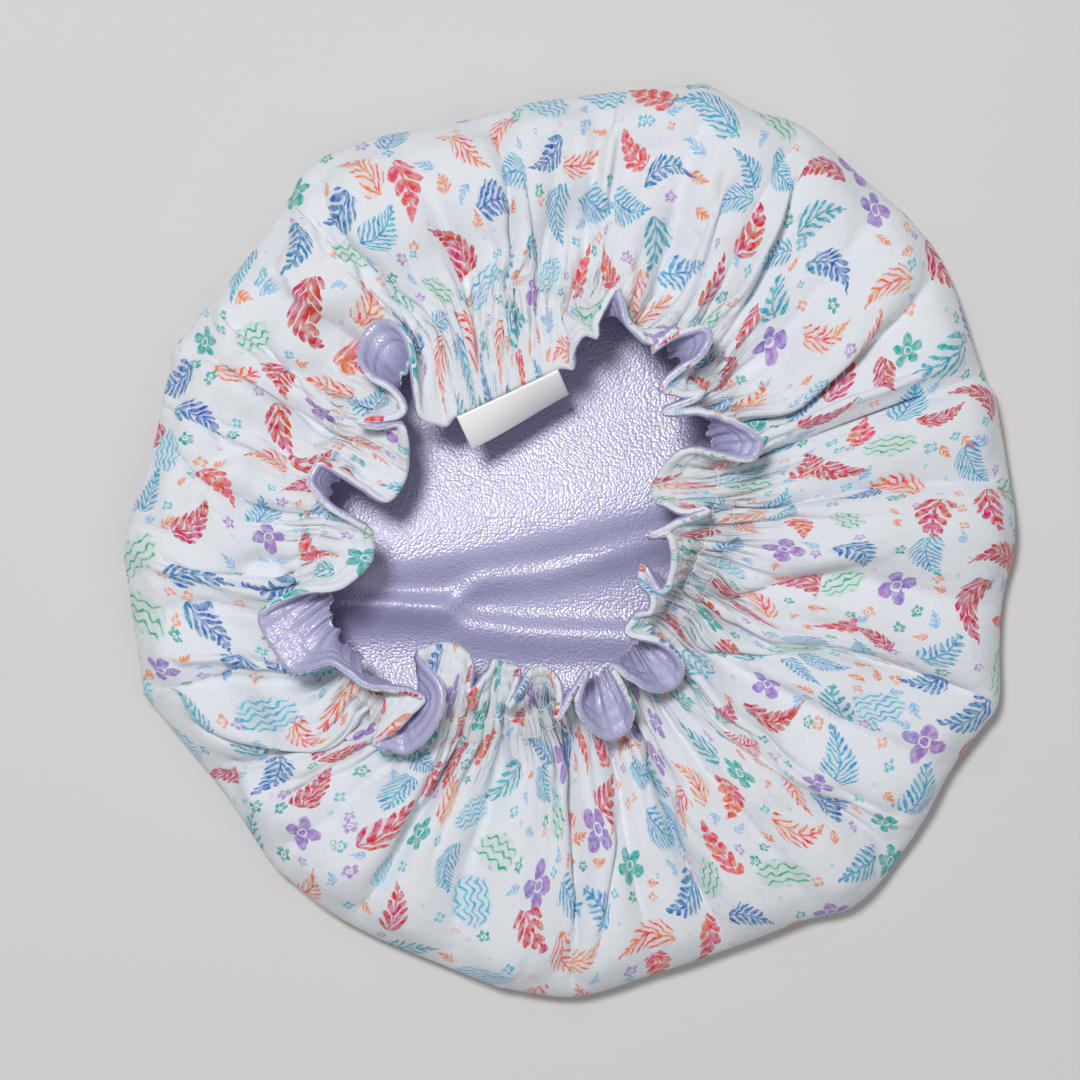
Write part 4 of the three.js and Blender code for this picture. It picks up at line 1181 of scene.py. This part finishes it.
# The two cloths and the label are sewn together round the lip and turned, so that the seam's thread
# lies in the groove between their rolled edges.
RIM_STITCH = 2.5 * MM
rim_at = stitches_round(CUT_RADIUS / MM, RIM_STITCH)
rim_row = np.full(rim_at.shape, len(cuts) - 1.0)
rim_low = surface_at((rim_row - 1, rim_at), 0 * rim_at)
rim_line = surface_at((rim_row, rim_at), 0 * rim_at)
rim_along = rim_line - rim_low
rim_along /= np.linalg.norm(rim_along, axis=2, keepdims=True)
rim_line = rim_line + rim_along * (spread_apart[-1].mean() - LIES_OUT * THREAD)
stitching.append(thread_piece("rim_seam_stitches", rim_line, rim_along, "rim_seam_thread"))


# The elastic is a flat knitted band in the casing. It is white and ribbed along its length, its two
# ends are lapped by 14 mm, and a zigzag of thread holds the lap.
ELASTIC_WIDTH = 7.6
ELASTIC_THICKNESS = 0.5 * MM
LAP_LEVEL = 0.4 * MM
ELASTIC_COLUMNS = 9
BAND_STEP = 2
LAP_FALLS = 3
RIB_PITCH = 1.0472 * MM
band_at = np.arange(lap_first, lap_last + AROUND + 1, BAND_STEP)
band_level = LAP_LEVEL * (1 - ramp(band_at, lap_last, lap_last + LAP_FALLS)
                          - ramp(band_at, lap_first + AROUND - LAP_FALLS, lap_first + AROUND))
band_cuts = ELASTIC_CUT + ELASTIC_WIDTH * np.linspace(-0.5, 0.5, ELASTIC_COLUMNS)
band_rows = np.interp(band_cuts, cuts / MM, np.arange(len(cuts)))
grid_rows, grid_at = np.meshgrid(band_rows, band_at.astype(float), indexing="ij")
faces_out = [surface_at((grid_rows, grid_at), band_level + side * ELASTIC_THICKNESS / 2 + 0 * grid_at)
             for side in (1, -1)]
band_ring = np.concatenate([faces_out[0], faces_out[1][::-1]])
band_index = np.arange(band_ring[..., 0].size).reshape(band_ring.shape[:2]).T
band_faces = squares_between(band_index) + [band_index[0][::-1].tolist(), band_index[-1].tolist()]
band = new_piece("knitted_elastic_band", band_ring, band_faces, smooth=False)
# Knitted over rubber, it is matt, with fine ribs
elastic, elastic_tree, elastic_shader = new_material("knitted_elastic", "#efece5", 0.75)
elastic_place = node(elastic_tree, "TexCoord").outputs["Object"]
ribs = node(elastic_tree, "TexWave", {"Vector": elastic_place, "Distortion": 1,
                                      "Scale": TURN / RIB_PITCH / WAVE_RADIANS})
rib_bump = node(elastic_tree, "Bump", {"Height": ribs.outputs[1], "Distance": 0.15 * MM, "Strength": 0.6})
elastic_tree.links.new(rib_bump.outputs[0], elastic_shader.inputs["Normal"])
band.data.materials.append(elastic)
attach(band, "cap")
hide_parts("elastic_band")

ZIGZAG_TURNS = 8
ZIGZAG_REACH = 0.25 * ELASTIC_WIDTH
ZIGZAG_INSET = 2
ZIGZAG_GAP = 0.04
ZIGZAG_OUT = 0.3 * THREAD
corner_at = np.linspace(lap_first + ZIGZAG_INSET, lap_last - ZIGZAG_INSET, ZIGZAG_TURNS + 1)
corner_cut = ELASTIC_CUT + ZIGZAG_REACH * (-1) ** np.arange(ZIGZAG_TURNS + 1)
corner_row = np.interp(corner_cut, cuts / MM, np.arange(len(cuts)))
share = np.linspace(ZIGZAG_GAP, 1 - ZIGZAG_GAP, STITCH_STEPS)
zigzag = tuple(ends[:-1, None] + np.diff(ends)[:, None] * share for ends in (corner_row, corner_at))
zigzag_level = LAP_LEVEL + ELASTIC_THICKNESS / 2 + ZIGZAG_OUT
zigzag_line = surface_at(zigzag, np.full(zigzag[0].shape, zigzag_level))
thread_piece("elastic_join_stitches", zigzag_line,
             surface_at(zigzag, np.full(zigzag[0].shape, zigzag_level + THREAD)) - zigzag_line,
             "elastic_join_thread")


# The label is a bare white satin ribbon folded in two, its cut ends caught in the rim's seam. It
# hangs over the opening, more at its right-hand end, and turns about its sewn edge, whose place and
# length stand above, where the lip runs straight for it.
LABEL_DROP = 12 * MM
SEWN_IN = 1.1 * MM
LABEL_PLY = 0.28 * MM
LABEL_GAP = 0.2 * MM
DROOP_LEFT = math.radians(24)
DROOP_RIGHT = math.radians(44)
DROOP_BEND = math.radians(16)
PLY_STEPS = 14
FOLD_STEPS = 6
LABEL_STEPS = 48
LABEL_WAVE = 0.35 * MM
WAVE_START, WAVE_TURN = 0.6, 5
WEFT_PITCH = 2.618 * MM
half = (LABEL_GAP + LABEL_PLY) / 2
straight = np.linspace(-SEWN_IN, LABEL_DROP - half, PLY_STEPS)
fold_turn = np.linspace(math.pi / 2, -math.pi / 2, FOLD_STEPS + 1)[1:-1]
ribbon_run = np.concatenate([straight, straight[-1] + half * np.cos(fold_turn), straight[::-1]])
ribbon_off = np.concatenate([np.full(PLY_STEPS, half), half * np.sin(fold_turn), np.full(PLY_STEPS, -half)])
across = np.linspace(0, 1, LABEL_STEPS + 1)[:, None]
droop = DROOP_LEFT + (DROOP_RIGHT - DROOP_LEFT) * across + DROOP_BEND * (ribbon_run / LABEL_DROP - 0.5)
wave = LABEL_WAVE * np.sin(across * WAVE_TURN + WAVE_START) * (ribbon_run / LABEL_DROP)
inwards = ribbon_run * np.cos(droop) + (ribbon_off + wave) * np.sin(droop)
upwards = -ribbon_run * np.sin(droop) + (ribbon_off + wave) * np.cos(droop)
ribbon = (label_root + (across - 0.5)[..., None] * LABEL_LENGTH * label_right
          + inwards[..., None] * label_in + upwards[..., None] * np.array([0, 0, 1]))
index = np.arange(ribbon[..., 0].size).reshape(ribbon.shape[:2])
ribbon_faces = np.stack([index[:-1, :-1], index[1:, :-1], index[1:, 1:], index[:-1, 1:]], axis=-1)
label = new_piece("folded_ribbon_label", ribbon, ribbon_faces.reshape(-1, 4).tolist())
unrolled = np.append(0, np.linalg.norm(np.diff(ribbon[0], axis=0), axis=1).cumsum())
flat_ribbon = np.stack(np.broadcast_arrays(across * LABEL_LENGTH, unrolled), axis=-1)
lay_out(label, "ribbon", flat_ribbon.reshape(-1, 2))
bpy.context.view_layer.objects.active = label
ply = label.modifiers.new("ply", "SOLIDIFY")
ply.thickness = LABEL_PLY
ply.offset = 0
bpy.ops.object.modifier_apply(modifier=ply.name)
# Satin is smooth with a soft shine, and its wefts just show
satin, satin_tree, satin_shader = new_material("white_satin_ribbon", "#fbfafa", 0.42, Sheen_Weight=0.2)
ribbon_place = node(satin_tree, "UVMap", uv_map="ribbon")
wefts = node(satin_tree, "TexWave", {"Vector": ribbon_place, "Distortion": 0.5,
                                     "Scale": TURN / WEFT_PITCH / WAVE_RADIANS})
weft_bump = node(satin_tree, "Bump", {"Height": wefts.outputs[1], "Distance": 0.05 * MM, "Strength": 0.5})
satin_tree.links.new(weft_bump.outputs[0], satin_shader.inputs["Normal"])
label.data.materials.append(satin)
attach(label, "label")
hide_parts("label")
